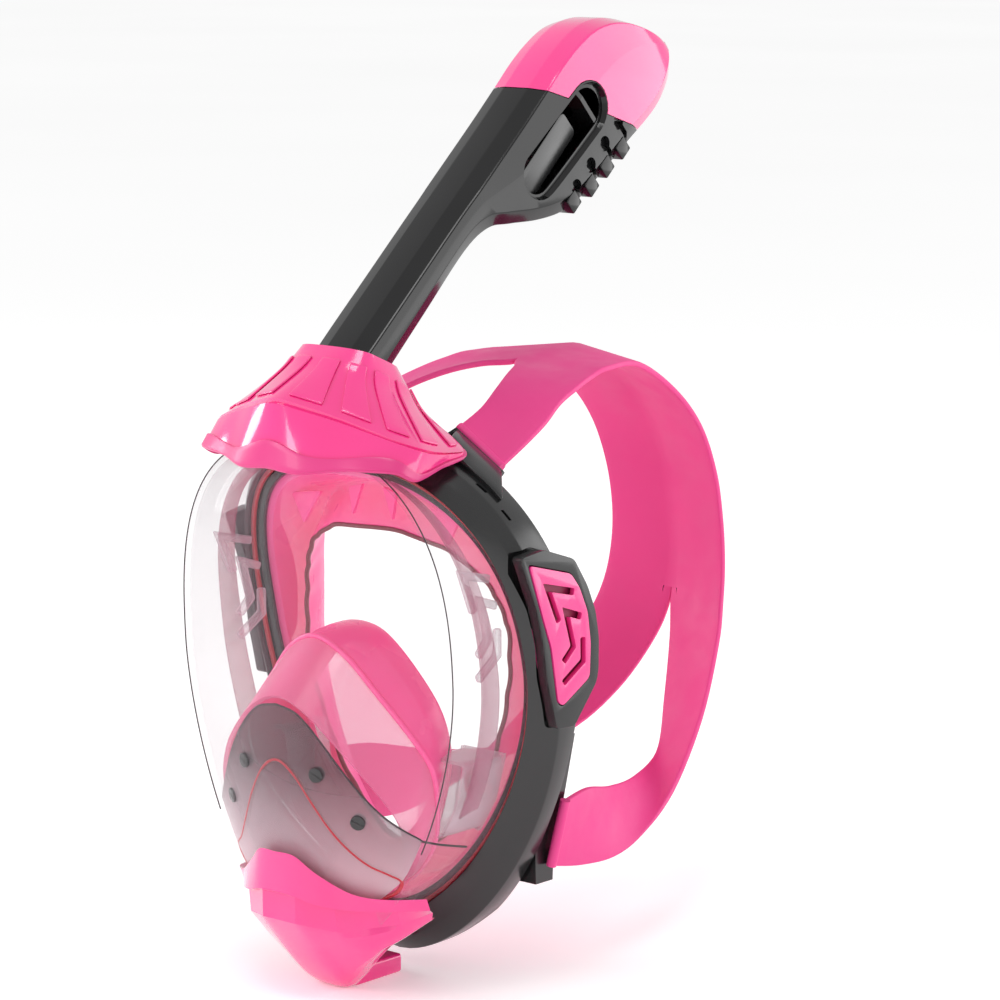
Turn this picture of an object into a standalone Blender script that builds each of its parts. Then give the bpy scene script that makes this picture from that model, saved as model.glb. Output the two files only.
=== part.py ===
"""Full face snorkel: a diving mask with one visor, a nose-and-mouth cup and a snorkel on top.

Metres, +Z up. The mask looks along -Y and the wearer's head is at +Y.
The origin is the middle of the seam between visor and frame.
"""

import math

import bmesh
import bpy
from mathutils import Vector

MM = 0.001

# Seam between visor and frame: two half superellipses, joined at the widest point.
SEAM_HALF_WIDTH = 72.2
SEAM_TOP = 79.5
SEAM_BOTTOM = 111.1
TOP_POWER = 2.55
BOTTOM_POWER = 1.70
# Edge between the visor's front face and its side wall.
EDGE_WIDTH_RATIO = 0.987
EDGE_HEIGHT_RATIO = 1.10
VISOR_FRONT = -68.0
VISOR_WALL = 2.2
AROUND = 56

# Frame and clamp, as distances outward and backward from the seam.
LEDGE = 6.0
POCKET = 4.1
FLANK = 8.2
CHIN_EXTRA = 7.5

# Vent housings on the flanks.
POD_DEPTH = 4.8
POD_TOP_DEPTH = 5.8
POD_WALL = 1.3
PANEL_THICKNESS = 1.8
FIT_GAP = 0.3

# Snorkel: runs up and back from the crown.
SNORKEL_BASE = Vector((0.0, -16.6, 118.8))
SNORKEL_ALONG = Vector((0.0, 0.731, 0.682)).normalized()
SNORKEL_FRONT = Vector((0.0, -0.682, 0.731)).normalized()
SNORKEL_WALL = 2.0

STRAP_THICKNESS = 2.4
SKIRT_THICKNESS = 1.8
CUP_THICKNESS = 1.8
CARRIER_THICKNESS = 1.6
SHELL = 2.2

PINK = (0.98, 0.09, 0.33)
SOFT_PINK = (0.90, 0.11, 0.33)
BLACK = (0.025, 0.025, 0.027)
CLEAR = (0.80, 0.84, 0.86)
RED = (0.60, 0.02, 0.03)
STEEL = (0.55, 0.55, 0.56)

PARTS = None
CUTTERS = None


# ---------------------------------------------------------------- scene and helpers


def clear_scene():
    for obj in list(bpy.data.objects):
        bpy.data.objects.remove(obj, do_unlink=True)


def new_collection(name):
    collection = bpy.data.collections.new(name)
    bpy.context.scene.collection.children.link(collection)
    return collection


def material(name, colour, roughness, metallic=0.0):
    found = bpy.data.materials.get(name)
    if found:
        return found
    made = bpy.data.materials.new(name)
    made.use_nodes = True
    shader = made.node_tree.nodes["Principled BSDF"]
    shader.inputs["Base Color"].default_value = (*colour, 1.0)
    shader.inputs["Roughness"].default_value = roughness
    shader.inputs["Metallic"].default_value = metallic
    return made


def add_object(name, data, finish=None):
    """Adds a part, or a cutter when it has no finish."""
    obj = bpy.data.objects.new(name, data)
    if finish:
        PARTS.objects.link(obj)
        data.materials.append(material(*finish))
    else:
        CUTTERS.objects.link(obj)
        obj.hide_render = True
        obj.display_type = "WIRE"
    return obj


def mesh_object(name, points, faces, finish=None, smooth=True):
    """Points are in millimetres."""
    mesh = bpy.data.meshes.new(name)
    mesh.from_pydata([Vector(p) * MM for p in points], [], faces)
    build = bmesh.new()
    build.from_mesh(mesh)
    bmesh.ops.recalc_face_normals(build, faces=build.faces)
    build.to_mesh(mesh)
    build.free()
    if smooth:
        mesh.shade_smooth()
        mesh.set_sharp_from_angle(angle=math.radians(35))
    return add_object(name, mesh, finish)


def skin(loops, closed=False, caps=False):
    """Faces between loops that all have the same number of points round them."""
    count = len(loops[0])
    points = [p for loop in loops for p in loop]
    faces = []
    rows = len(loops) if closed else len(loops) - 1
    for row in range(rows):
        here = row * count
        there = ((row + 1) % len(loops)) * count
        for i in range(count):
            j = (i + 1) % count
            faces.append((here + i, here + j, there + j, there + i))
    if caps:
        faces.append(tuple(reversed(range(count))))
        faces.append(tuple((len(loops) - 1) * count + i for i in range(count)))
    return points, faces


def loft(name, loops, finish=None, closed=False):
    """A solid through loops of points: capped, or closed on itself like a ring."""
    points, faces = skin(loops, closed=closed, caps=not closed)
    return mesh_object(name, points, faces, finish)


def shell(name, loops, thickness, finish, offset=0.0):
    """An open tube of surface with a wall."""
    points, faces = skin(loops)
    obj = mesh_object(name, points, faces, finish)
    thicken(obj, thickness, offset)
    return obj


def thicken(obj, thickness, offset):
    wall = obj.modifiers.new("wall", "SOLIDIFY")
    wall.thickness = thickness * MM
    wall.offset = offset
    wall.use_even_offset = True


def prism(name, outline, low, high, place, finish=None):
    """An outline of (a, b) pairs between two depths; place turns (a, b, depth) into a point."""
    loops = [[place(a, b, low) for a, b in outline], [place(a, b, high) for a, b in outline]]
    return loft(name, loops, finish)


def cylinder(name, centre, axis, radius, length, finish=None, sides=24):
    mesh = bpy.data.meshes.new(name)
    build = bmesh.new()
    bmesh.ops.create_cone(
        build,
        cap_ends=True,
        segments=sides,
        radius1=radius * MM,
        radius2=radius * MM,
        depth=length * MM,
    )
    build.to_mesh(mesh)
    build.free()
    obj = add_object(name, mesh, finish)
    obj.location = Vector(centre) * MM
    obj.rotation_mode = "QUATERNION"
    obj.rotation_quaternion = Vector((0, 0, 1)).rotation_difference(Vector(axis))
    return obj


def rod(name, points, radius, finish, closed=False, bevel_resolution=1):
    """A round wire through points in millimetres."""
    curve = bpy.data.curves.new(name, "CURVE")
    curve.dimensions = "3D"
    curve.bevel_depth = radius * MM
    curve.bevel_resolution = bevel_resolution
    curve.use_fill_caps = not closed
    spline = curve.splines.new("POLY")
    spline.points.add(len(points) - 1)
    for control, point in zip(spline.points, points):
        control.co = (*(Vector(point) * MM), 1.0)
    spline.use_cyclic_u = closed
    return add_object(name, curve, finish)


def boolean(obj, other, operation="DIFFERENCE"):
    cut = obj.modifiers.new(operation.lower(), "BOOLEAN")
    cut.operation = operation
    cut.solver = "EXACT"
    cut.object = other


def mirrored(point):
    return Vector((-point[0], point[1], point[2]))


def both_sides(half):
    """A closed loop from its right half, which runs from the top centre to the bottom centre."""
    right = [Vector(p) for p in half]
    left = [mirrored(p) for p in reversed(right[1:-1])]
    return right + left


def smooth_loop(half, count):
    """A closed Catmull-Rom curve through a half outline and its mirror image."""
    knots = both_sides(half)
    total = len(knots)
    loop = []
    for step in range(count):
        place = step * total / count
        i = int(place)
        t = place - i
        a, b, c, d = (knots[(i + k) % total] for k in (-1, 0, 1, 2))
        loop.append(
            0.5 * ((2 * b) + (c - a) * t + (2 * a - 5 * b + 4 * c - d) * t**2 + (3 * b - a - 3 * c + d) * t**3)
        )
    return loop


def between(loop_a, loop_b, share):
    return [a.lerp(b, share) for a, b in zip(loop_a, loop_b)]


# ---------------------------------------------------------------- the mask's own curves


def signed_power(value, power):
    return math.copysign(abs(value) ** power, value)


def outline(angle, half_width, top, bottom):
    """(x, z) on the mask's outline; angle 0 is the top and a quarter turn is the right side."""
    upper = math.cos(angle) > 0
    power = 2 / (TOP_POWER if upper else BOTTOM_POWER)
    height = top if upper else bottom
    return half_width * signed_power(math.sin(angle), power), height * signed_power(math.cos(angle), power)


def seam_y(z):
    return -0.2119 * z - 0.0021 * z * z


def edge_y(z):
    return -42.5 - 0.0589 * z - 0.0005 * z * z


def seam_point(angle, out=0.0, back=0.0):
    """A point beside the seam: outward in the plane of the face, and backward."""
    x, z = outline(angle, SEAM_HALF_WIDTH, SEAM_TOP, SEAM_BOTTOM)
    step = 0.02
    x0, z0 = outline(angle - step, SEAM_HALF_WIDTH, SEAM_TOP, SEAM_BOTTOM)
    x1, z1 = outline(angle + step, SEAM_HALF_WIDTH, SEAM_TOP, SEAM_BOTTOM)
    normal = Vector((z0 - z1, 0, x1 - x0)).normalized()
    return Vector((x, seam_y(z) + back, z)) + normal * out


def angles(count=AROUND):
    return [2 * math.pi * i / count for i in range(count)]


def seam_loop(out, back, count=AROUND):
    return [seam_point(a, out, back) for a in angles(count)]


def edge_point(angle):
    x, z = outline(
        angle,
        SEAM_HALF_WIDTH * EDGE_WIDTH_RATIO,
        SEAM_TOP * EDGE_HEIGHT_RATIO,
        SEAM_BOTTOM * EDGE_HEIGHT_RATIO,
    )
    return Vector((x, edge_y(z), z))


def visor_radius(x, z):
    """0 at the middle of the front face, 1 on its edge."""
    power = TOP_POWER if z > 0 else BOTTOM_POWER
    height = (SEAM_TOP if z > 0 else SEAM_BOTTOM) * EDGE_HEIGHT_RATIO
    wide = abs(x) / (SEAM_HALF_WIDTH * EDGE_WIDTH_RATIO)
    tall = abs(z) / height
    radius = (wide**power + tall**power) ** (1 / power)
    upright = tall**2 / (wide**2 + tall**2 + 1e-9)
    return radius, upright


def visor_y(x, z):
    """The front face: nearly straight up and down the middle, and round from side to side."""
    radius, upright = visor_radius(x, z)
    flatness = 2.4 + (8.0 if z > 0 else 0.8) * upright**2
    rim = edge_y(z)
    return rim + (VISOR_FRONT - rim) * max(0.0, 1 - radius**flatness)


# ---------------------------------------------------------------- visor, frame and clamp


def make_visor():
    loops = []
    for share in (0.3, 0.55, 0.78, 0.93):
        loop = []
        for a in angles():
            rim = edge_point(a)
            x, z = rim.x * share, rim.z * share
            loop.append(Vector((x, visor_y(x, z), z)))
        loops.append(loop)
    rim_loop = [edge_point(a) for a in angles()]
    seat = seam_loop(-0.4, 0.0)
    foot = seam_loop(-0.4, 1.8)
    loops += [rim_loop, between(rim_loop, seat, 0.5), seat, foot]
    points, faces = skin(loops)
    middle = len(points)
    points.append(Vector((0, VISOR_FRONT, 0)))
    faces += [(i, (i + 1) % AROUND, middle) for i in range(AROUND)]
    visor = mesh_object("lens", points, faces, ("clear_plastic", CLEAR, 0.05))
    thicken(visor, VISOR_WALL, -1.0)
    boolean(visor, cylinder("air_port_cutter", (0, -41, 85), (0, 0.15, 1), 11, 16))
    boolean(visor, cylinder("purge_hole_cutter", purge_centre(0), PURGE_AXIS, 9.0, 14))


def frame_section(angle):
    """The frame's section as (outward, backward) pairs; it is deepest at the lower flanks."""
    low = max(0.0, -math.cos(angle)) ** 2
    flank = FLANK + CHIN_EXTRA * low
    z = seam_point(angle).z
    rear = frame_rear(z) - seam_y(z)
    return [
        (0.0, -0.8),
        (5.4 + 0.5 * CHIN_EXTRA * low, 4.4),
        (flank, 9.6),
        (flank, rear),
        (POCKET, rear),
        (POCKET, 9.2),
        (-0.2, 9.2),
        (-0.2, 6.6),
        (-LEDGE, 6.6),
        (-LEDGE, 4.2),
        (0.0, 4.2),
    ]


# Where the frame's flank ends, as (z, y) from the bottom up to the widest point.
FRAME_REAR = [(-112, 10), (-106, 17), (-96, 23.5), (0, 24)]


def frame_rear(z):
    if z > 0:
        return 24.0 - 20.0 * (z / 62.0) ** 1.3
    for (z0, y0), (z1, y1) in zip(FRAME_REAR, FRAME_REAR[1:]):
        if z <= z1:
            break
    return y0 + (y1 - y0) * (z - z0) / (z1 - z0)


def make_frame():
    loops = [[seam_point(a, out, back) for out, back in frame_section(a)] for a in angles()]
    frame = loft("front_frame", loops, ("black_plastic", BLACK, 0.35), closed=True)
    for side in (1, -1):
        boolean(frame, pod_prism(f"pod_room_{side}", side, FIT_GAP, -9.0, 6.0))
    for number, angle in enumerate(SCREW_ANGLES):
        centre = seam_point(angle, SCREW_OUT, 8.0)
        boolean(frame, cylinder(f"frame_pilot_{number}", centre, (0, 1, 0), 1.3, 5.0, sides=12))


def make_gasket():
    section = [(-0.5, 2.2), (-0.5, 3.8), (-5.2, 3.8), (-5.2, 2.2)]
    loops = [[seam_point(a, out, back) for out, back in section] for a in angles()]
    return loft("lens_gasket", loops, ("red_silicone", RED, 0.5), closed=True)


SCREW_ANGLES = [math.radians(a) for a in (28, 90, 138, 222, 270, 332)]
SCREW_OUT = 1.8


def make_retaining_ring():
    section = [(-6.2, 9.6), (3.7, 9.6), (3.7, 11.6), (-6.2, 11.6)]
    loops = [[seam_point(a, out, back) for out, back in section] for a in angles()]
    ring = loft("retaining_ring", loops, ("black_plastic", BLACK, 0.35), closed=True)
    for number, angle in enumerate(SCREW_ANGLES):
        centre = seam_point(angle, SCREW_OUT, 10.6)
        boolean(ring, cylinder(f"ring_hole_{number}", centre, (0, 1, 0), 1.5, 6.0, sides=12))


def make_screws():
    """Each screw is a turned profile: a shank in the frame and a head behind the ring."""
    steel = ("steel", STEEL, 0.3, 1.0)
    profile = [(0.0, 1.5), (1.7, 1.5), (2.0, 1.1), (2.0, 0.0), (1.1, 0.0), (1.1, -5.6), (0.0, -5.6)]
    for number, angle in enumerate(SCREW_ANGLES):
        slope = abs(seam_y(seam_point(angle).z + 1) - seam_y(seam_point(angle).z))
        seat = seam_point(angle, SCREW_OUT, 11.8 + 2.1 * slope)
        turned(f"ring_screw_{number + 1}", seat, Vector((0, 1, 0)), profile, steel, 12)


def turned(name, origin, axis, profile, finish, sides=24):
    """A profile of (radius, height) pairs, top to bottom, turned about an axis."""
    mesh = bpy.data.meshes.new(name)
    points = [Vector((radius, 0, height)) * MM for radius, height in profile]
    mesh.from_pydata(points, [(i, i + 1) for i in range(len(points) - 1)], [])
    obj = add_object(name, mesh, finish)
    obj.location = Vector(origin) * MM
    obj.rotation_mode = "QUATERNION"
    obj.rotation_quaternion = Vector((0, 0, 1)).rotation_difference(axis)
    turn = obj.modifiers.new("turn", "SCREW")
    turn.steps = sides
    turn.render_steps = sides
    turn.use_merge_vertices = True
    turn.merge_threshold = 0.00002
    return obj


# ---------------------------------------------------------------- vent housings and panels

# Side outlines in (y, z): the housing, and the panel let into it.
POD_OUTLINE = [
    (-12.0, 46.0),
    (0.5, 48.0),
    (17.0, 42.5),
    (24.5, 31.0),
    (29.0, 20.5),
    (31.0, 10.0),
    (31.0, -3.0),
    (30.0, -8.0),
    (25.5, -14.0),
    (18.0, -24.0),
    (8.5, -24.0),
    (6.5, -16.0),
    (3.0, -3.5),
    (1.0, 9.5),
    (-3.0, 24.5),
]
PANEL_OUTLINE = [
    (-7.6, 42.8),
    (14.8, 37.0),
    (19.5, 31.1),
    (24.1, 21.0),
    (26.0, 8.4),
    (25.6, -5.5),
    (11.0, -14.9),
    (8.4, -12.9),
    (6.9, -3.9),
    (4.6, 9.1),
    (0.1, 21.1),
]
# Slots of the panel, each the middle line of a path in (y, z).
PANEL_SLOTS = [
    [(16.5, 29.6), (2.0, 33.0), (8.4, 18.8)],
    [(20.6, 19.4), (12.2, 22.2), (16.4, 8.0), (11.0, 2.6)],
    [(21.6, 11.0), (21.8, 1.6), (11.0, -5.8)],
]
SLOT_WIDTH = 2.8


def pod_face(y):
    """The housing's outer face leans out towards the back."""
    return 80.2 + 0.1 * y


def pod_place(side):
    def place(y, z, depth):
        return Vector((side * (pod_face(y) + depth), y, z))

    return place


def grown(outline_points, distance):
    """An outline moved outward by a distance, corner by corner."""
    count = len(outline_points)
    area = sum(
        outline_points[i][0] * outline_points[(i + 1) % count][1]
        - outline_points[(i + 1) % count][0] * outline_points[i][1]
        for i in range(count)
    )
    turn = 1 if area > 0 else -1
    result = []
    for i in range(count):
        before = Vector(outline_points[i - 1])
        here = Vector(outline_points[i])
        after = Vector(outline_points[(i + 1) % count])
        a = (here - before).normalized()
        b = (after - here).normalized()
        normal_a = Vector((a.y, -a.x)) * turn
        normal_b = Vector((b.y, -b.x)) * turn
        mitre = (normal_a + normal_b).normalized()
        result.append(here + mitre * distance / max(0.4, mitre.dot(normal_a)))
    return [(p.x, p.y) for p in result]


def stroke(line, width):
    """The outline of a path of constant width."""
    knots = [Vector(p) for p in line]
    left = []
    right = []
    for i, knot in enumerate(knots):
        ways = []
        if i > 0:
            ways.append((knot - knots[i - 1]).normalized())
        if i < len(knots) - 1:
            ways.append((knots[i + 1] - knot).normalized())
        normals = [Vector((-w.y, w.x)) for w in ways]
        mitre = sum(normals, Vector((0, 0))).normalized()
        reach = width / 2 / max(0.45, mitre.dot(normals[0]))
        left.append(knot + mitre * reach)
        right.append(knot - mitre * reach)
    return [(p.x, p.y) for p in left + right[::-1]]


def pod_prism(name, side, growth, low, high, finish=None, shape=None):
    return prism(name, grown(shape or POD_OUTLINE, growth), low, high, pod_place(side), finish)


def make_pod(side, word):
    black = ("black_plastic", BLACK, 0.35)
    back = []
    for y, z in POD_OUTLINE:
        deeper = POD_TOP_DEPTH if z > 35 else POD_DEPTH
        back.append(Vector((side * (pod_face(y) - deeper), y, z)))
    front = [Vector((side * pod_face(y), y, z)) for y, z in POD_OUTLINE]
    pod = loft(f"{word}_vent_housing", [back, front], black)
    boolean(pod, pod_prism(f"{word}_pod_room", side, FIT_GAP, -POD_DEPTH + POD_WALL, 3.0, shape=PANEL_OUTLINE))
    for number, (y, z) in enumerate([(13.0, 24.0), (17.0, 3.0)]):
        hole = [(y - 4, z - 6), (y + 4, z - 6), (y + 4, z + 6), (y - 4, z + 6)]
        boolean(pod, prism(f"{word}_window_{number}", hole, -9.0, 0.0, pod_place(side)))
    panel = pod_prism(f"{word}_vent_panel", side, 0.0, -PANEL_THICKNESS, 0.4, ("pink_gloss", PINK, 0.2), PANEL_OUTLINE)
    for number, line in enumerate(PANEL_SLOTS):
        boolean(panel, prism(f"{word}_slot_{number}", stroke(line, SLOT_WIDTH), -5.0, 5.0, pod_place(side)))


# ---------------------------------------------------------------- covers

CROWN_FRONT_EDGE = [
    (0, -69, 80),
    (15, -68, 79),
    (30, -61.5, 81),
    (42, -57.5, 81.5),
    (51, -52, 81),
    (52.5, -44, 77.5),
    (51, -36, 77.5),
    (50.5, -26, 80),
    (50, -12, 82.5),
    (42, -6, 84.5),
    (26, -2, 87.5),
    (0, 0, 90),
]
CROWN_RIDGE = [
    (0, -65, 106),
    (13, -61.5, 103.5),
    (26, -56, 99.5),
    (38, -51.5, 95.5),
    (47.5, -47, 92),
    (52.5, -40, 89),
    (53, -31, 86.5),
    (51.5, -20, 85),
    (50, -12, 84.6),
    (42, -6.5, 87),
    (26, -2.5, 92.5),
    (0, 0.5, 97),
]
CROWN_NECK = [
    (0, -47, 114.5),
    (9, -46, 114),
    (17, -43, 112.5),
    (22.5, -39, 110.5),
    (26.5, -34, 108),
    (29, -28, 105),
    (30, -20, 100.8),
    (29.5, -13, 97),
    (26.5, -8.5, 96),
    (21, -5.5, 97.5),
    (12, -2.5, 100.5),
    (0, -0.5, 102.5),
]
# The rim lies in a tilted plane: (x, distance back from its middle).
CROWN_RIM_MIDDLE = Vector((0, -19, 117))
CROWN_RIM_BACK = Vector((0, 0.925, -0.38))
CROWN_RIM = [
    (0, -17),
    (7, -16.8),
    (13, -15.6),
    (17.4, -12.5),
    (17.8, -7),
    (17.6, 0),
    (17.2, 4),
    (15.5, 8),
    (12.5, 11),
    (9, 12.6),
    (5, 13),
    (0, 13),
]
CROWN_AROUND = 44


def make_crown():
    rim_half = [Vector((x, 0, 0)) + CROWN_RIM_MIDDLE + CROWN_RIM_BACK * back for x, back in CROWN_RIM]
    rows = [CROWN_FRONT_EDGE, CROWN_RIDGE, CROWN_NECK, rim_half]
    low, ridge, neck, rim = [smooth_loop(row, CROWN_AROUND) for row in rows]
    loops = [low, ridge, between(ridge, neck, 0.5), neck, between(neck, rim, 0.55), rim]
    shell("crown_cover", loops, SHELL, ("pink_gloss", PINK, 0.2), offset=-1.0)


CHIN_ROWS = [
    [(0, None, -72), (9, None, -72.5), (16, None, -78), (23, None, -83), (29, None, -86.5), (35, None, -88),
     (44.6, -47.3, -89), (48, -29.5, -91)],
    [(0, -66, -88), (9, -65.5, -88.5), (17, -63, -91), (24, -59, -92.5), (30, -54.5, -93.5), (36, -50, -94),
     (43.8, -44.5, -94), (46.4, -26.5, -95)],
    [(0, -65, -100), (9, -64.5, -100), (17, -61.5, -101), (24, -57, -102.5), (30, -52, -103),
     (35.5, -46.5, -102.5), (40, -38, -101), (43.5, -22, -98)],
    [(0, -50, -127.5), (9, -49.5, -126.5), (15, -47, -123.5), (20.5, -45, -120.5), (26, -42, -116.5),
     (31, -38, -112), (36, -31.5, -108), (41.5, -20, -101.5)],
    [(0, -30, -133.5), (8, -29.5, -133), (13, -28.5, -128.5), (17, -27.5, -123.5), (21.5, -26.5, -118),
     (27, -25, -112), (33, -22.5, -107), (40.5, -17.5, -101.5)],
    [(0, -3, -133), (7.5, -3, -132.3), (11.5, -12, -127.5), (15.5, -20, -121.8), (20, -22.3, -116.8),
     (26, -22.3, -110.8), (32.5, -20, -105.8), (40, -16.5, -102)],
]
CHIN_STAND_OFF = 3.4


def make_chin():
    """Rows run across the cover from its centre line to its tip; the other half is a mirror image."""
    rows = []
    for row in CHIN_ROWS:
        half = [Vector((x, visor_y(x, z) - CHIN_STAND_OFF if y is None else y, z)) for x, y, z in row]
        rows.append([mirrored(p) for p in reversed(half[1:])] + half)
    count = len(rows[0])
    faces = []
    for r in range(len(rows) - 1):
        for i in range(count - 1):
            faces.append((r * count + i, r * count + i + 1, (r + 1) * count + i + 1, (r + 1) * count + i))
    chin = mesh_object("chin_cover", [p for row in rows for p in row], faces, ("pink_gloss", PINK, 0.2))
    if chin.data.polygons[0].normal.y > 0:
        chin.data.flip_normals()
    round_off = chin.modifiers.new("round", "SUBSURF")
    round_off.levels = 1
    round_off.render_levels = 1
    thicken(chin, SHELL, -1.0)


# ---------------------------------------------------------------- soft parts


def skirt_rear(angle):
    x, z = outline(angle, 62.0, 66.0, 99.0)
    y = 27.0 - 23.0 * max(0.0, (z - 5) / 61) ** 2 - 4.0 * max(0.0, (5 - z) / 104) ** 2
    return Vector((x, y, z))


def skirt_lip(angle):
    x, z = outline(angle, 54.0, 48.5, 86.0)
    y = 11.0 - 18.0 * max(0.0, (z - 5) / 43.5) ** 2 + 4.0 * max(0.0, (5 - z) / 91)
    return Vector((x, y, z))


def make_skirt():
    rear = [skirt_rear(a) for a in angles()]
    lip = [skirt_lip(a) for a in angles()]
    wall = seam_loop(-7.8, 7.7)
    roll = [a.lerp(b, 0.35) + Vector((0, 2.5, 0)) for a, b in zip(rear, lip)]
    loops = [seam_loop(-0.9, 7.7), wall, between(wall, rear, 0.5), rear, roll, lip]
    return shell("face_skirt", loops, SKIRT_THICKNESS, ("pink_silicone", SOFT_PINK, 0.5))


CARRIER_FRONT = [(0, -11), (15, -17), (30, -31), (40, -44), (46, -56), (46.5, -66), (41, -79), (29, -91), (14, -98), (0, -100)]
CARRIER_REAR = [
    (0, -42, 9.5),
    (14, -40.5, 3.5),
    (27, -37, -10),
    (43, -33, -27),
    (49.5, -30, -38),
    (48.5, -26, -52),
    (40.5, -18, -70),
    (26, -12, -86),
    (12, -10, -94),
    (0, -10, -97),
]
CUP_REAR = [
    (0, -15, 11),
    (11, -14, 8),
    (24, -12, -4),
    (36, -10, -20),
    (38, -6, -37),
    (32.5, -2, -54),
    (24, 2, -70),
    (14, 4, -81),
    (7, 4.5, -85.5),
    (0, 4.5, -87),
]
CUP_AROUND = 44
SEAL_LINE = [(0, -34), (9, -38.5), (17, -50), (24, -61), (31, -71), (34, -78), (30, -85), (20, -91.5), (8, -95), (0, -96)]
STUD_PLACES = [(17, -42), (-17, -42), (31.5, -62), (-31.5, -62)]


def loop_behind_visor(line, stand_off):
    return smooth_loop([(x, visor_y(x, z) + stand_off, z) for x, z in line], CUP_AROUND)


def make_cup():
    front = loop_behind_visor(CARRIER_FRONT, 4.4)
    seam = smooth_loop(CARRIER_REAR, CUP_AROUND)
    rear = smooth_loop(CUP_REAR, CUP_AROUND)
    shell("cup_carrier", [front, between(front, seam, 0.5), seam], CARRIER_THICKNESS, ("clear_plastic", CLEAR, 0.05))
    start = between(seam, rear, 0.07)
    middle = [p + Vector((0, 0, 1.5 if p.z > -40 else 0)) for p in between(seam, rear, 0.55)]
    centre = Vector((0, -8, -38))
    curl = [centre + (p - centre) * 0.86 - Vector((0, 3, 0)) for p in rear]
    cup_loops = [start, middle, rear, curl]
    shell("oronasal_cup", cup_loops, CUP_THICKNESS, ("pink_silicone", SOFT_PINK, 0.5))
    seal = loop_behind_visor(SEAL_LINE, 4.6)
    rod("mouth_seal", seal, 0.9, ("red_silicone", RED, 0.5), closed=True)


def make_studs():
    for number, (x, z) in enumerate(STUD_PLACES):
        y = visor_y(x, z) + 6.5
        cylinder(f"carrier_stud_{number + 1}", (x, y, z), (0, 1, 0), 2.0, 5.0, ("black_plastic", BLACK, 0.35), 16)


# ---------------------------------------------------------------- valves

VALVE_CENTRE = Vector((46, 3, -51))
VALVE_PLATE = [(37, -36), (59, -36), (54, -55), (46, -69), (33, -65)]
PURGE_AXIS = Vector((0, 0.265, -0.964)).normalized()
PURGE_MIDDLE = Vector((0, -22, -115.4))


def purge_centre(distance):
    return PURGE_MIDDLE + PURGE_AXIS * distance


def spoked_ring(name, centre, axis, outer, inner, hub, thickness, finish):
    """A valve seat: a ring with three spokes and a hub, so air passes and the disc is backed."""
    centre = Vector(centre)
    ring = cylinder(name, centre, axis, outer, thickness, finish, 28)
    turn = Vector((0, 0, 1)).rotation_difference(Vector(axis))
    count = 3
    gap = math.radians(17)
    for number in range(count):
        start = 2 * math.pi * number / count + gap
        end = 2 * math.pi * (number + 1) / count - gap
        steps = [start + (end - start) * k / 6 for k in range(7)]
        sector = [(inner * math.cos(a), inner * math.sin(a)) for a in steps]
        middle = (start + end) / 2
        sector.append((hub * math.cos(middle), hub * math.sin(middle)))

        def place(a, b, depth):
            return centre + turn @ Vector((a, b, depth))

        boolean(ring, prism(f"{name}_gap_{number}", sector, -thickness, thickness, place))


def make_side_valve(side, word):
    centre = Vector((side * VALVE_CENTRE.x, VALVE_CENTRE.y, VALVE_CENTRE.z))

    def place(x, z, depth):
        return Vector((side * x, VALVE_CENTRE.y + depth, z))

    plate = prism(f"{word}_valve_plate", VALVE_PLATE, -1.0, 1.0, place, ("clear_plastic", CLEAR, 0.05))
    boolean(plate, cylinder(f"{word}_plate_hole", centre, (0, 1, 0), 7.6, 6.0, sides=28))
    spoked_ring(f"{word}_valve_seat", centre, (0, 1, 0), 7.3, 5.8, 1.6, 2.0, ("pink_gloss", PINK, 0.2))
    disc_centre = centre + Vector((0, 1.8, 0))
    cylinder(f"{word}_valve_disc", disc_centre, (0, 1, 0), 6.9, 0.8, ("red_silicone", RED, 0.5), 28)


def make_purge_valve():
    black = ("black_plastic", BLACK, 0.35)
    spoked_ring("purge_valve_seat", purge_centre(0), PURGE_AXIS, 8.6, 6.8, 1.8, 4.0, black)
    cylinder("purge_valve_disc", purge_centre(2.8), PURGE_AXIS, 8.0, 0.9, ("red_silicone", RED, 0.5), 28)


# ---------------------------------------------------------------- head strap

# The right half of the strap: pairs of outer and inner edge points, from the upper end to the lower.
STRAP_ROWS = [
    ((48, 13, 75), (26, 13, 89)),
    ((48.5, 26, 82), (25, 27, 94.5)),
    ((48, 40, 89.5), (20.5, 41, 100)),
    ((45, 53, 96), (14.5, 55, 104)),
    ((42.5, 67, 100.5), (8, 68, 106)),
    ((40, 79, 103.5), (0, 79, 106.5)),
    ((37.5, 93, 105.5), (0, 95, 109)),
    ((33, 119, 104), (0, 120, 109)),
    ((30, 147, 90), (0, 148, 96)),
    ((30, 165, 73), (0, 168, 77)),
    ((30, 176, 52), (0, 181, 53)),
    ((30, 181, 31), (0, 186.5, 30)),
    ((31, 181.5, 12), (0, 187.5, 10)),
    ((33, 178, -5), (0, 185.5, -6)),
    ((37, 170, -21), (4, 180, -24)),
    ((44.5, 149, -49), (13, 165, -47)),
    ((52, 120, -74), (25, 145, -64)),
    ((56, 95, -87), (38, 112, -68)),
    ((57.5, 74, -92), (49, 82, -65)),
    ((57.5, 52, -91), (59.5, 54, -59)),
    ((59, 32, -87), (66, 32, -59)),
]
STRAP_ACROSS = 4


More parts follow.
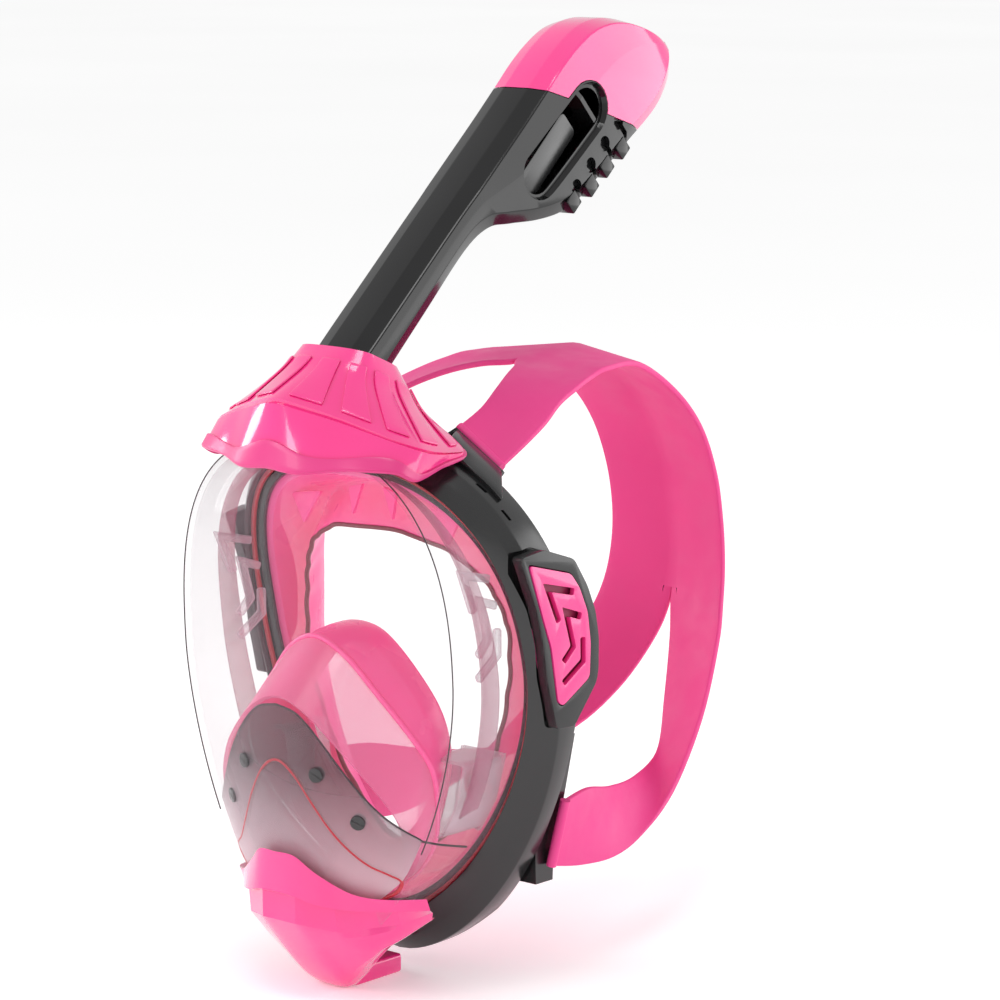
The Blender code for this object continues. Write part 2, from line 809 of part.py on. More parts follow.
def make_strap():
    points = []
    faces = []
    for outer, inner in STRAP_ROWS:
        for column in range(STRAP_ACROSS + 1):
            points.append(Vector(inner).lerp(Vector(outer), column / STRAP_ACROSS))
    width = STRAP_ACROSS + 1
    for row in range(len(STRAP_ROWS) - 1):
        for column in range(STRAP_ACROSS):
            here = row * width + column
            faces.append((here, here + 1, here + width + 1, here + width))
    strap = mesh_object("head_strap", points, faces, ("pink_silicone", SOFT_PINK, 0.5))
    mirror = strap.modifiers.new("other_half", "MIRROR")
    mirror.merge_threshold = 0.00002
    thicken(strap, STRAP_THICKNESS, 0.0)


UPPER_BAR = [(27, 1.5, 84.5), (27, 9.6, 87.5), (50, 9.6, 73.6), (50, 5.6, 71)]
# Stations of the lower lugs: height, inner and outer side, front and rear.
LUG_STATIONS = [
    (-30, 68.0, 73.5, 24.4, 28.5),
    (-58, 57.0, 63.0, 24.4, 35.0),
    (-80, 49.0, 57.0, 24.4, 36.0),
    (-94, 45.0, 56.5, 25.5, 36.0),
]


def make_strap_bars():
    """What the strap ends hold on to: a bar above and a lug below, on each side of the frame's rear edge."""
    black = ("black_plastic", BLACK, 0.35)
    for side, word in ((1, "right"), (-1, "left")):
        bar = [(side * x, y, z) for x, y, z in UPPER_BAR]
        rod(f"{word}_upper_strap_bar", bar, 1.9, black, bevel_resolution=2)
        loops = []
        for z, inner, outer, front, rear in LUG_STATIONS:
            corners = [(inner, front), (outer, front), (outer, rear), (inner, rear)]
            loops.append([Vector((side * x, y, z)) for x, y in corners])
        loft(f"{word}_lower_strap_lug", loops, black)


# ---------------------------------------------------------------- snorkel

# Stations along the snorkel: distance, front, back, half width.
TUBE_STATIONS = [
    (-30, 4.5, -9.5, 9.0),
    (-15, 4.8, -9.8, 9.2),
    (-14, 10.4, -8.6, 14.2),
    (0, 10.4, -8.0, 14.6),
    (62, 9.6, -7.4, 14.6),
    (78, 9.2, -11.0, 14.8),
    (88, 9.0, -19.0, 15.4),
    (100, 8.8, -29.5, 16.4),
    (112, 8.6, -38.5, 17.2),
    (124, 8.5, -44.5, 17.5),
    (140, 8.6, -47.0, 17.6),
    (152, 8.8, -47.0, 17.6),
    (164, 7.4, -48.0, 17.4),
    (176, 4.2, -50.2, 17.0),
    (186, -2.0, -51.6, 16.2),
    (194, -9.8, -51.8, 15.2),
    (202, -21.0, -51.0, 13.8),
    (207.5, -31.5, -49.2, 12.0),
    (211, -39.0, -46.8, 9.5),
]
FRONT_FLAT = 6.3
SHOULDER_WIDTH = 14.2
FRONT_CUT = 2.5
REAR_CUT = (4.0, 7.0)
SEAM_LOW = (133.5, 14.4)
SEAM_HIGH = (167.5, -45.0)


def snorkel_point(along, front, x=0.0):
    return SNORKEL_BASE + SNORKEL_ALONG * along + SNORKEL_FRONT * front + Vector((x, 0, 0))


def snorkel_section(station, shrink):
    """Ten corners: a narrow front, shallow slopes to the shoulders, sides, and corner cuts behind."""
    along, front, back, half = station
    depth = front - back
    flat = min(FRONT_FLAT, half * 0.5) - shrink * 0.4
    shoulder = min(SHOULDER_WIDTH, half * 0.95) - shrink
    drop = min(FRONT_CUT, depth * 0.25)
    side = max(back + REAR_CUT[1] + 1.0, front - depth * 0.35)
    rear_edge = back + min(REAR_CUT[1], depth * 0.4)
    rear_wide = half - min(REAR_CUT[0], half * 0.3) - shrink
    half -= shrink
    corners = [
        (-flat, front - shrink),
        (flat, front - shrink),
        (shoulder, front - drop - shrink * 0.8),
        (half, side),
        (half, rear_edge),
        (rear_wide, back + shrink),
        (-rear_wide, back + shrink),
        (-half, rear_edge),
        (-half, side),
        (-shoulder, front - drop - shrink * 0.8),
    ]
    return [snorkel_point(along, n, x) for x, n in corners]


def snorkel_solid(name, shrink, stations, finish=None):
    return loft(name, [snorkel_section(s, shrink) for s in stations], finish)


def seam_side(name, above, gap):
    """A big wedge on one side of the slanting seam between tube and cap."""
    low = Vector(SEAM_LOW)
    high = Vector(SEAM_HIGH)
    way = (high - low).normalized()
    normal = Vector((-way.y, way.x))
    if normal.x < 0:
        normal = -normal
    sign = 1 if above else -1
    a = low - way * 90 + normal * sign * gap
    b = high + way * 90 + normal * sign * gap
    corners = [a, b, b + normal * sign * 260, a + normal * sign * 260]

    def place(u, n, depth):
        return snorkel_point(u, n, depth)

    return prism(name, [(p.x, p.y) for p in corners], -60, 60, place)


def stadium(low, high, radius):
    """An outline with round ends, between two points in (along, front)."""
    low = Vector(low)
    high = Vector(high)
    heading = math.atan2(high.y - low.y, high.x - low.x)
    points = []
    for centre, start in ((high, heading - math.pi / 2), (low, heading + math.pi / 2)):
        for k in range(7):
            angle = start + math.pi * k / 6
            points.append((centre.x + radius * math.cos(angle), centre.y + radius * math.sin(angle)))
    return points


WINDOW_LOW = (111.0, -13.5)
WINDOW_HIGH = (150.0, -16.0)
WINDOW_RADIUS = 8.6
WINDOW_RIM = 3.0
# Opening in the underside of the head, as an outline in (along, front).
DRAIN = [(86, -12), (104, -26), (112, -48), (88, -36)]
DRAIN_HALF_WIDTH = 10.0
DIVIDER = [(-8, 0.8), (76, 0.8), (76, -0.6), (-8, -0.6)]
FLOAT_REST = 117.0
FLOAT_LENGTH = 22.0
FLOAT_FRONT = -17.0
FLOAT_RADIUS = 10.6
FLOAT_TRAVEL = 8.5


def side_place(u, n, depth):
    return snorkel_point(u, n, depth)


def window_prism(name, growth):
    return prism(name, stadium(WINDOW_LOW, WINDOW_HIGH, WINDOW_RADIUS + growth), -40, 40, side_place)


def make_snorkel():
    black = ("black_gloss", BLACK, 0.15)
    inner = [(-36, *TUBE_STATIONS[0][1:])] + TUBE_STATIONS[1:-2] + [(207, -33.5, -49.0, 11.5)]
    tube = snorkel_solid("snorkel_tube", 0.0, TUBE_STATIONS, black)
    boolean(tube, snorkel_solid("snorkel_bore", SNORKEL_WALL, inner))
    cap_room = seam_side("cap_room", True, -0.2)
    boolean(cap_room, window_prism("tongue", WINDOW_RIM - 0.2))
    boolean(tube, cap_room)
    boolean(tube, window_prism("window_cutter", 0.0))
    drain = prism("drain_cutter", DRAIN, -DRAIN_HALF_WIDTH, DRAIN_HALF_WIDTH, side_place)
    boolean(tube, drain)
    cap = snorkel_solid("snorkel_cap", 0.0, TUBE_STATIONS, ("pink_gloss", PINK, 0.2))
    boolean(cap, snorkel_solid("cap_bore", SNORKEL_WALL, inner))
    boolean(cap, seam_side("tube_room", False, -0.2))
    boolean(cap, window_prism("tongue_room", WINDOW_RIM + 0.2))
    prism("snorkel_divider", DIVIDER, -11.0, 11.0, side_place, black)


def make_float():
    grey = ("float_plastic", (0.04, 0.04, 0.042), 0.4)
    half = FLOAT_LENGTH / 2
    centre = snorkel_point(FLOAT_REST + half, FLOAT_FRONT)
    edge = FLOAT_RADIUS - 2.0
    profile = [
        (0.0, half),
        (edge, half),
        (FLOAT_RADIUS, half - 2.0),
        (FLOAT_RADIUS, 2.0 - half),
        (edge, -half),
        (0.0, -half),
    ]
    turned("float", centre, SNORKEL_ALONG, profile, grey, 24)
    seal_centre = snorkel_point(FLOAT_REST + FLOAT_LENGTH + 1.3, FLOAT_FRONT)
    cylinder("float_seal", seal_centre, SNORKEL_ALONG, 9.0, 1.6, ("red_silicone", RED, 0.5), 24)
    level = FLOAT_REST + FLOAT_LENGTH + 2.1 + FLOAT_TRAVEL
    at_seat = (8.6, -46.6, 17.5)
    stations = [(level + 0.3, *at_seat), (level + 2.3, *at_seat)]
    seat = snorkel_solid("float_seat", SNORKEL_WALL + 0.4, stations, ("black_gloss", BLACK, 0.15))
    hole_centre = snorkel_point(level, FLOAT_FRONT)
    boolean(seat, cylinder("seat_hole", hole_centre, SNORKEL_ALONG, 6.8, 12.0, sides=24))


def make_socket():
    """The collar in the crown that the snorkel plugs into, and the ring that seals it."""
    spigot = TUBE_STATIONS[0][1:]
    top = TUBE_STATIONS[1][1:]
    outer = snorkel_solid("socket_collar", -2.4, [(-29, *spigot), (-19, *top)], ("black_plastic", BLACK, 0.35))
    boolean(outer, snorkel_solid("collar_bore", -0.5, [(-36, *spigot), (-10, *top)]))
    ring = snorkel_section((-16.6, *top), -1.6)
    rod("snorkel_o_ring", ring, 1.1, ("red_silicone", RED, 0.5), closed=True)


# ---------------------------------------------------------------- assembly


def main():
    global PARTS, CUTTERS
    clear_scene()
    PARTS = new_collection("full_face_snorkel")
    CUTTERS = new_collection("cutters")
    make_visor()
    make_frame()
    make_gasket()
    make_retaining_ring()
    make_screws()
    make_crown()
    make_chin()
    make_skirt()
    make_cup()
    make_studs()
    for side, word in ((1, "right"), (-1, "left")):
        make_pod(side, word)
        make_side_valve(side, word)
    make_purge_valve()
    make_strap()
    make_strap_bars()
    make_snorkel()
    make_float()
    make_socket()


main()
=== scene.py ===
"""Looks for the full face snorkel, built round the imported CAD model.

Metres, +Z up. The mask looks along -Y, and the origin is the middle of the seam between visor and frame.
Helper functions take millimetres.
"""

import math

import bmesh
import bpy
from mathutils import Matrix, Vector


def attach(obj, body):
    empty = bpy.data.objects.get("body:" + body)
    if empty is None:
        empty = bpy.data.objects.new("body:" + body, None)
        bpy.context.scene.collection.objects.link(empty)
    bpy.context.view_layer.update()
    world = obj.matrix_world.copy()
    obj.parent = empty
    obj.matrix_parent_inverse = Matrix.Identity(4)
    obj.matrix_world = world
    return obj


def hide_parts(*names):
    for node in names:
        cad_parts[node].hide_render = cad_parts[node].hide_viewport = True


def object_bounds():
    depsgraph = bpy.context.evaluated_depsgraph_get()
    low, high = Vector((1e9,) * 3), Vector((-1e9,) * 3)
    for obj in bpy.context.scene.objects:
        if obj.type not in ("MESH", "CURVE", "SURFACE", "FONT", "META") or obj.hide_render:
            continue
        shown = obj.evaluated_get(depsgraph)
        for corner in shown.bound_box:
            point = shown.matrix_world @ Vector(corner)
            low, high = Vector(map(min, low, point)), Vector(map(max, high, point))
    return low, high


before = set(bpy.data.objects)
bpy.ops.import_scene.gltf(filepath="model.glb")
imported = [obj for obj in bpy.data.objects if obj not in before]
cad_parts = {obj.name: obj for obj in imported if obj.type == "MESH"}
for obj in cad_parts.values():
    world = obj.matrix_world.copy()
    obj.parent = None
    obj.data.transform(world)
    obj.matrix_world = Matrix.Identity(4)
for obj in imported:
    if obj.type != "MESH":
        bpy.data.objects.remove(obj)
CAD_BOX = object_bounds()
MM = 0.001
SIDES = ((1, "right"), (-1, "left"))

# The mask's curves, as in the CAD model: two half superellipses for the seam between visor and frame.
SEAM_HALF_WIDTH = 72.2
SEAM_TOP = 79.5
SEAM_BOTTOM = 111.1
TOP_POWER = 2.55
BOTTOM_POWER = 1.70
EDGE_WIDTH_RATIO = 0.987
EDGE_HEIGHT_RATIO = 1.10
VISOR_FRONT = -68.0
VISOR_WALL = 2.2
# How far the seam and the visor's front edge lean and curve, as (depth, lean, curve) over the height.
SEAM_COURSE = (0.0, 0.2119, 0.0021)
EDGE_COURSE = (42.5, 0.0589, 0.0005)
# How flat the visor's front is: at its sides, then what is added at its top and at its bottom.
FLATNESS = 2.4
FLATNESS_TOP = 8.0
FLATNESS_BOTTOM = 0.8
AROUND = 192
ANGLE_MARKS = 2880

SNORKEL_BASE = Vector((0.0, -16.6, 118.8))
SNORKEL_ALONG = Vector((0.0, 0.731, 0.682)).normalized()
SNORKEL_FRONT = Vector((0.0, -0.682, 0.731)).normalized()

# --- camera, light and floor

VIEW_FROM = Vector((0.655, -0.728, 0.203)).normalized()
VIEW_RIGHT = Vector((0.743, 0.669, 0.0)).normalized()
VIEW_UP = Vector((-0.136, 0.151, 0.979)).normalized()
CAMERA_DISTANCE = 1500.0
# How far beside and above the origin the camera aims, as shares of its distance.
AIM_RIGHT = 0.02992
AIM_UP = 0.0385067
WORLD_STRENGTH = 0.76
LIGHT_TARGET = Vector((0.0, 0.03, 0.03))
# Softboxes: direction from the object, distance, width and height in metres, power in watts.
SOFTBOXES = {
    "side_box": ((0.655, 0.728, -0.12), 1.6, 1.5, 2.0, 20.0),
    "front_box": ((-0.36, -0.86, 0.36), 1.6, 0.55, 0.42, 4.2),
    "left_box": ((-0.95, -0.25, 0.30), 1.6, 0.35, 0.9, 6.0),
    "top_box": ((0.15, -0.35, 1.0), 1.5, 0.6, 0.4, 4.0),
}
TRANSPARENT_BOUNCES = 28
FLOOR_HALF_SIZE = 60.0
FLOOR_GAP = 0.0005


def place_object(name, data):
    obj = bpy.data.objects.new(name, data)
    bpy.context.scene.collection.objects.link(obj)
    return obj


def make_camera():
    data = bpy.data.cameras.new("camera")
    data.lens = 135.0
    data.sensor_width = 36.0
    camera = place_object("camera", data)
    look = (-VIEW_FROM + VIEW_RIGHT * AIM_RIGHT + VIEW_UP * AIM_UP).normalized()
    right = (VIEW_RIGHT - look * VIEW_RIGHT.dot(look)).normalized()
    up = right.cross(look)
    turn = Matrix((right, up, -look)).transposed().to_4x4()
    camera.matrix_world = Matrix.Translation(VIEW_FROM * CAMERA_DISTANCE * MM) @ turn
    bpy.context.scene.camera = camera


def area_light(name, direction, distance, width, height, power):
    """A softbox that faces the middle of the object."""
    data = bpy.data.lights.new(name, "AREA")
    data.shape = "RECTANGLE"
    data.size = width
    data.size_y = height
    data.energy = power
    light = place_object(name, data)
    way = Vector(direction).normalized()
    light.location = LIGHT_TARGET + way * distance
    light.rotation_mode = "QUATERNION"
    light.rotation_quaternion = (-way).to_track_quat("-Z", "Y")


def make_lights():
    world = bpy.data.worlds.new("studio")
    bpy.context.scene.world = world
    world.use_nodes = True
    back = world.node_tree.nodes["Background"]
    back.inputs["Color"].default_value = (1.0, 1.0, 1.0, 1.0)
    back.inputs["Strength"].default_value = WORLD_STRENGTH
    for name, box in SOFTBOXES.items():
        area_light(name, *box)
    scene = bpy.context.scene
    scene.view_settings.view_transform = "Standard"
    scene.cycles.transparent_max_bounces = TRANSPARENT_BOUNCES


def make_floor(look):
    mesh = bpy.data.meshes.new("floor")
    build = bmesh.new()
    bmesh.ops.create_grid(build, x_segments=4, y_segments=4, size=FLOOR_HALF_SIZE)
    build.to_mesh(mesh)
    build.free()
    floor = place_object("floor", mesh)
    floor.location = (0.0, 0.0, CAD_BOX[0].z - FLOOR_GAP)
    mesh.materials.append(look)


# --- materials

BUMP_DEPTH = 0.0001
CLOUD_SCALE = 18.0
RIPPLE_SCALE = 40.0
# Opaque looks: two colours in sRGB, roughness, then the scale and strength of the grain, and the coat.
MOULDED = {
    "pink_gloss": ((240, 46, 134), (246, 56, 144), 0.14, 500.0, 0.02, 0.75),
    "pink_band": ((218, 52, 126), (226, 58, 134), 0.34, 700.0, 0.08, 0.1),
    # The next look is a darker copy of the pink: painted shade for the recess behind the vent panels' slots.
    "pink_recess_shade": ((150, 30, 80), (165, 38, 90), 0.4),
    "strap_silicone": ((228, 58, 136), (237, 66, 143), 0.55, 1400.0, 0.25),
    "black_satin": ((22, 22, 23), (29, 29, 30), 0.22, 1100.0, 0.05, 0.0, 0.65),
    "black_gloss": ((14, 14, 15), (19, 19, 20), 0.12, 500.0, 0.02, 0.0, 0.4),
    "float_grey": ((52, 52, 54), (60, 60, 62), 0.35, 700.0, 0.1),
    "red_silicone": ((188, 20, 44), (200, 28, 52), 0.35, 900.0, 0.12),
    "brown_edge": ((128, 64, 74), (140, 74, 84), 0.40, 900.0, 0.1),
    # The next look is painted shade: the dark lines that clear plastic shows along its creases and edges.
    "dark_edge_shade": ((58, 46, 52), (68, 54, 60), 0.30),
}
# Clear looks: colour, opacity seen straight on and edge-on, roughness, blend of the two, and painted glow, an
# emission that stands in for light shining through the pink silicone and plastic.
SEE_THROUGH = {
    "skirt_silicone": ((252, 100, 170), 0.60, 0.94, 0.30, 0.40, 0.11),
    "cup_silicone": ((250, 98, 162), 0.82, 0.96, 0.26, 0.40, 0.12),
    "clear_plastic": ((170, 160, 166), 0.012, 0.36, 0.05, 0.28),
    # The next look's pale colour, nearly opaque edge-on, is painted highlight for the white glints along
    # clear plastic edges; the clear plastic itself is real.
    "clear_edge_highlight": ((214, 190, 200), 0.20, 0.80, 0.08, 0.45),
    "clear_wall": ((176, 84, 118), 0.30, 0.78, 0.08, 0.40),
    "carrier_plastic": ((242, 124, 170), 0.46, 0.80, 0.20, 0.45, 0.08),
}


def linear(red, green, blue):
    """A colour given as 0 to 255 in sRGB, as linear light."""
    values = []
    for value in (red, green, blue):
        share = value / 255.0
        values.append(share / 12.92 if share <= 0.04045 else ((share + 0.055) / 1.055) ** 2.4)
    return (*values, 1.0)


def put(node, **values):
    """Sets inputs by name, with _ for each space, or joins them to another node's output."""
    for name, value in values.items():
        entry = node.inputs[name.replace("_", " ")]
        if isinstance(value, bpy.types.NodeSocket):
            node.id_data.links.new(value, entry)
        else:
            entry.default_value = value


def new_look(name):
    look = bpy.data.materials.new(name)
    look.use_nodes = True
    return look, look.node_tree.nodes["Principled BSDF"]


def new_node(shader, kind, **values):
    """Another node beside the shader."""
    node = shader.id_data.nodes.new("ShaderNode" + kind)
    put(node, **values)
    return node


def object_noise(shader, scale, detail=3.0, stretch=(1.0, 1.0, 1.0)):
    """Noise fixed to the object. Scale is in cells per metre."""
    where = new_node(shader, "TexCoord").outputs["Object"]
    turn = new_node(shader, "Mapping", Scale=stretch, Vector=where)
    noise = new_node(shader, "TexNoise", Scale=scale, Detail=detail, Vector=turn.outputs["Vector"])
    return noise.outputs["Fac"]


def spread(source, low, high, from_low=0.3, from_high=0.7):
    limits = {"From_Min": from_low, "From_Max": from_high, "To_Min": low, "To_Max": high}
    return new_node(source, "MapRange", **limits, Value=source).outputs["Result"]


def edge_on(shader, blend, low, high):
    """A value that goes from low, seen straight on, to high at grazing angles."""
    weight = new_node(shader, "LayerWeight", Blend=blend)
    return spread(weight.outputs["Facing"], low, high, 0.0, 1.0)


def two_tone(source, low_colour, high_colour, from_low=0.3, from_high=0.7):
    ramp = new_node(source, "ValToRGB", Fac=source)
    stops = ((from_low, low_colour), (from_high, high_colour))
    for element, (position, colour) in zip(ramp.color_ramp.elements, stops):
        element.position = position
        element.color = colour
    return ramp.outputs["Color"]


def bump(shader, source, strength):
    node = new_node(shader, "Bump", Strength=strength, Distance=BUMP_DEPTH, Height=source)
    put(shader, Normal=node.outputs["Normal"])


def moulded(name, low, high, rough, grain=900.0, grain_strength=0.15, coat=0.0, gloss=0.5):
    """Moulded plastic or rubber: faint cloudy colour, uneven gloss and a fine moulded grain."""
    look, shader = new_look(name)
    cloud = object_noise(shader, CLOUD_SCALE, 2.0)
    put(shader, Base_Color=two_tone(cloud, linear(*low), linear(*high)))
    put(shader, Roughness=spread(object_noise(shader, CLOUD_SCALE * 4), rough * 0.85, rough * 1.2))
    bump(shader, object_noise(shader, grain, 2.0), grain_strength)
    put(shader, Specular_IOR_Level=gloss, Coat_Weight=coat, Coat_Roughness=0.06)
    return look


def see_through(name, colour, facing_alpha, edge_alpha, rough, blend, glow=0.0):
    """Clear or frosted plastic: light passes straight through, less so at grazing angles. Any glow is painted
    light, an emission standing in for light shining through the part.
    """
    look, shader = new_look(name)
    tint = linear(*colour)
    pale = tuple(min(1.0, value * 1.08) for value in tint[:3]) + (1.0,)
    put(shader, Alpha=edge_on(shader, blend, facing_alpha, edge_alpha))
    put(shader, Base_Color=two_tone(object_noise(shader, 14.0), tint, pale))
    put(shader, Roughness=spread(object_noise(shader, RIPPLE_SCALE), rough * 0.7, rough * 1.3))
    bump(shader, object_noise(shader, RIPPLE_SCALE, 1.0), 0.04)
    # Painted glow: the part emits its own tint, standing in for light shining through it.
    put(shader, Emission_Color=tint, Emission_Strength=glow)
    return look


def smoked_look():
    """The mouth shield: smoked grey towards its upper edge, pale towards the chin; the pale lower part is
    painted reflection, standing in for light reflected off the frosted shield.
    """
    look, shader = new_look("smoked_shield")
    where = new_node(shader, "TexCoord").outputs["Object"]
    split = new_node(shader, "SeparateXYZ", Vector=where)
    height = spread(split.outputs["Z"], 0.0, 1.0, -95.0 * MM, -20.0 * MM)
    # Paler towards the chin: painted reflection; the smoked grey at the top is the shield's own tint.
    put(shader, Base_Color=two_tone(height, linear(240, 208, 218), linear(82, 66, 72), 0.05, 0.78))
    put(shader, Alpha=edge_on(shader, 0.35, 0.56, 0.90))
    put(shader, Roughness=spread(object_noise(shader, 60.0), 0.28, 0.42))
    bump(shader, object_noise(shader, 300.0, 2.0), 0.012)
    return look


def steel_look():
    look, shader = new_look("turned_steel")
    rings = object_noise(shader, 900.0, 2.0, (1.0, 0.1, 1.0))
    put(shader, Base_Color=two_tone(rings, linear(170, 170, 172), linear(205, 205, 207)))
    put(shader, Metallic=1.0, Roughness=spread(rings, 0.2, 0.38))
    return look


def floor_look():
    """Pale studio floor that glows a little, so that it comes out near white."""
    look, shader = new_look("studio_floor")
    cloud = object_noise(shader, 0.8, 2.0)
    put(shader, Base_Color=two_tone(cloud, linear(250, 250, 250), linear(253, 253, 253)))
    put(shader, Roughness=0.9, Specular_IOR_Level=0.0)
    put(shader, Emission_Color=(1.0, 1.0, 1.0, 1.0), Emission_Strength=0.22)
    return look


def make_looks():
    looks = {name: moulded(name, *values) for name, values in MOULDED.items()}
    looks.update({name: see_through(name, *values) for name, values in SEE_THROUGH.items()})
    looks.update(smoked=smoked_look(), steel=steel_look(), floor=floor_look())
    return looks


# --- mesh helpers


def add_mesh(name, points, faces):
    mesh = bpy.data.meshes.new(name)
    mesh.from_pydata([Vector(p) * MM for p in points], [], faces)
    build = bmesh.new()
    build.from_mesh(mesh)
    bmesh.ops.recalc_face_normals(build, faces=build.faces)
    build.to_mesh(mesh)
    build.free()
    return place_object(name, mesh)


def add_curve(name, points, radius, closed, resolution):
    """A round wire through points."""
    curve = bpy.data.curves.new(name, "CURVE")
    curve.dimensions = "3D"
    curve.bevel_depth = radius * MM
    curve.bevel_resolution = resolution
    curve.use_fill_caps = not closed
    spline = curve.splines.new("POLY")
    spline.points.add(len(points) - 1)
    for control, point in zip(spline.points, points):
        control.co = (*(Vector(point) * MM), 1.0)
    spline.use_cyclic_u = closed
    return place_object(name, curve)


def modify(obj, kind, **values):
    modifier = obj.modifiers.new(kind.lower(), kind)
    for name, value in values.items():
        setattr(modifier, name, value)


def wall(obj, thickness, offset=-1.0):
    modify(obj, "SOLIDIFY", thickness=thickness * MM, offset=offset, use_even_offset=True)


def soften(obj, width, segments=2, angle=35.0):
    modify(
        obj, "BEVEL", width=width * MM, segments=segments,
        limit_method="ANGLE", angle_limit=math.radians(angle), use_clamp_overlap=True,
    )


def cut(obj, *others):
    for other in others:
        modify(obj, "BOOLEAN", operation="DIFFERENCE", solver="EXACT", object=other)


def settle(obj, angle=32.0, remove=()):
    """Turns the object's modifiers into its mesh, then removes its cutters."""
    graph = bpy.context.evaluated_depsgraph_get()
    final = bpy.data.meshes.new_from_object(obj.evaluated_get(graph))
    if obj.type == "MESH":
        obj.modifiers.clear()
        obj.data = final
    final.shade_smooth()
    final.set_sharp_from_angle(angle=math.radians(angle))
    for other in remove:
        bpy.data.objects.remove(other, do_unlink=True)
    return obj


def dress(obj, look, body="mask", nodes=()):
    """Gives a piece its look and its body, and hides the CAD nodes that it stands for."""
    obj.data.materials.clear()
    obj.data.materials.append(LOOKS[look])
    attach(obj, body)
    if nodes:
        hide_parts(*nodes)
    return obj


def skin(loops, closed=False, caps=False, around=True):
    """Faces between rows of points; around joins each row's last point to its first."""
    count = len(loops[0])
    points = [p for loop in loops for p in loop]
    faces = []
    rows = len(loops) if closed else len(loops) - 1
    for row in range(rows):
        here = row * count
        there = ((row + 1) % len(loops)) * count
        for i in range(count if around else count - 1):
            j = (i + 1) % count
            faces.append((here + i, here + j, there + j, there + i))
    if caps:
        faces.append(tuple(reversed(range(count))))
        faces.append(tuple((len(loops) - 1) * count + i for i in range(count)))
    return points, faces


def loft(name, loops, closed=False):
    points, faces = skin(loops, closed=closed, caps=not closed)
    return add_mesh(name, points, faces)


def surface(name, rows, around=False):
    return add_mesh(name, *skin(rows, around=around))


def prism(name, shape, low, high, place):
    """A body between two copies of a flat outline; place turns (a, b, depth) into a point."""
    return loft(name, [[place(a, b, depth) for a, b in shape] for depth in (low, high)])


def cylinder(name, centre, axis, radius, length, sides):
    axis = Vector(axis).normalized()
    side = axis.orthogonal().normalized()
    other = axis.cross(side)
    loops = []
    for end in (-0.5, 0.5):
        middle = Vector(centre) + axis * length * end
        turn = [2 * math.pi * k / sides for k in range(sides)]
        loops.append([middle + (side * math.cos(t) + other * math.sin(t)) * radius for t in turn])
    return loft(name, loops)


def rounded(corners, radius, steps=2):
    """A closed outline with its corners rounded off; works on 2-D and 3-D points."""
    points = [Vector(c) for c in corners]
    result = []
    for i, here in enumerate(points):
        before = points[i - 1] - here
        after = points[(i + 1) % len(points)] - here
        start = here + before * min(0.42, radius / max(before.length, 1e-6))
        end = here + after * min(0.42, radius / max(after.length, 1e-6))
        for k in range(steps + 1):
            t = k / steps
            result.append((start * (1 - t) + here * t) * (1 - t) + (here * (1 - t) + end * t) * t)
    return result


def spline(a, b, c, d, t):
    """Catmull-Rom between b and c; works on numbers and vectors."""
    return 0.5 * ((2 * b) + (c - a) * t + (2 * a - 5 * b + 4 * c - d) * t**2 + (3 * b - a - 3 * c + d) * t**3)


def through(knots, steps):
    """An open smooth run through knots with some steps between each two."""
    result = []
    last = len(knots) - 1
    for i in range(last):
        a, b, c, d = (knots[max(0, min(last, i + k))] for k in (-1, 0, 1, 2))
        result += [spline(a, b, c, d, k / steps) for k in range(steps)]
    return result + [knots[last]]


def facing(x, z, depth):
    """Places a flat shape parallel to the wearer's face."""
    return Vector((x, depth, z))


def wire(name, points, radius, look, closed=False, nodes=(), resolution=3):
    """A dressed round wire."""
    return dress(settle(add_curve(name, points, radius, closed, resolution)), look, nodes=nodes)


def through_rows(rows, steps):
    """Rows of points, with smooth rows put in between."""
    columns = [through(list(column), steps) for column in zip(*rows)]
    return [list(row) for row in zip(*columns)]


def mirrored(point):
    return Vector((-point[0], point[1], point[2]))


def both_sides(half):
    right = [Vector(p) for p in half]
    return right + [mirrored(p) for p in reversed(right[1:-1])]


def smooth_loop(half, count):
    """A closed smooth curve through a half outline, top centre to bottom centre, and its mirror image."""
    knots = both_sides(half)
    total = len(knots)
    loop = []
    for step in range(count):
        place = step * total / count
        i = int(place)
        a, b, c, d = (knots[(i + k) % total] for k in (-1, 0, 1, 2))
        loop.append(spline(a, b, c, d, place - i))
    return loop


def between(loop_a, loop_b, share):
    return [a.lerp(b, share) for a, b in zip(loop_a, loop_b)]


# --- the mask's own curves


def signed_power(value, power):
    return math.copysign(abs(value) ** power, value)


def outline(angle, half_width, top, bottom):
    """(x, z) on the mask's outline; angle 0 is the top and a quarter turn is the right side."""
    upper = math.cos(angle) > 0
    power = 2 / (TOP_POWER if upper else BOTTOM_POWER)
    height = top if upper else bottom
    return half_width * signed_power(math.sin(angle), power), height * signed_power(math.cos(angle), power)


def course(z, depth, lean, curve):
    return -depth - lean * z - curve * z * z


def seam_y(z):
    return course(z, *SEAM_COURSE)


def edge_y(z):
    return course(z, *EDGE_COURSE)


def seam_point(angle, out=0.0, back=0.0):
    """A point beside the seam: outward in the plane of the face, and backward."""
    x, z = outline(angle, SEAM_HALF_WIDTH, SEAM_TOP, SEAM_BOTTOM)
    x0, z0 = outline(angle - 0.02, SEAM_HALF_WIDTH, SEAM_TOP, SEAM_BOTTOM)
    x1, z1 = outline(angle + 0.02, SEAM_HALF_WIDTH, SEAM_TOP, SEAM_BOTTOM)
    normal = Vector((z0 - z1, 0, x1 - x0)).normalized()
    return Vector((x, seam_y(z) + back, z)) + normal * out


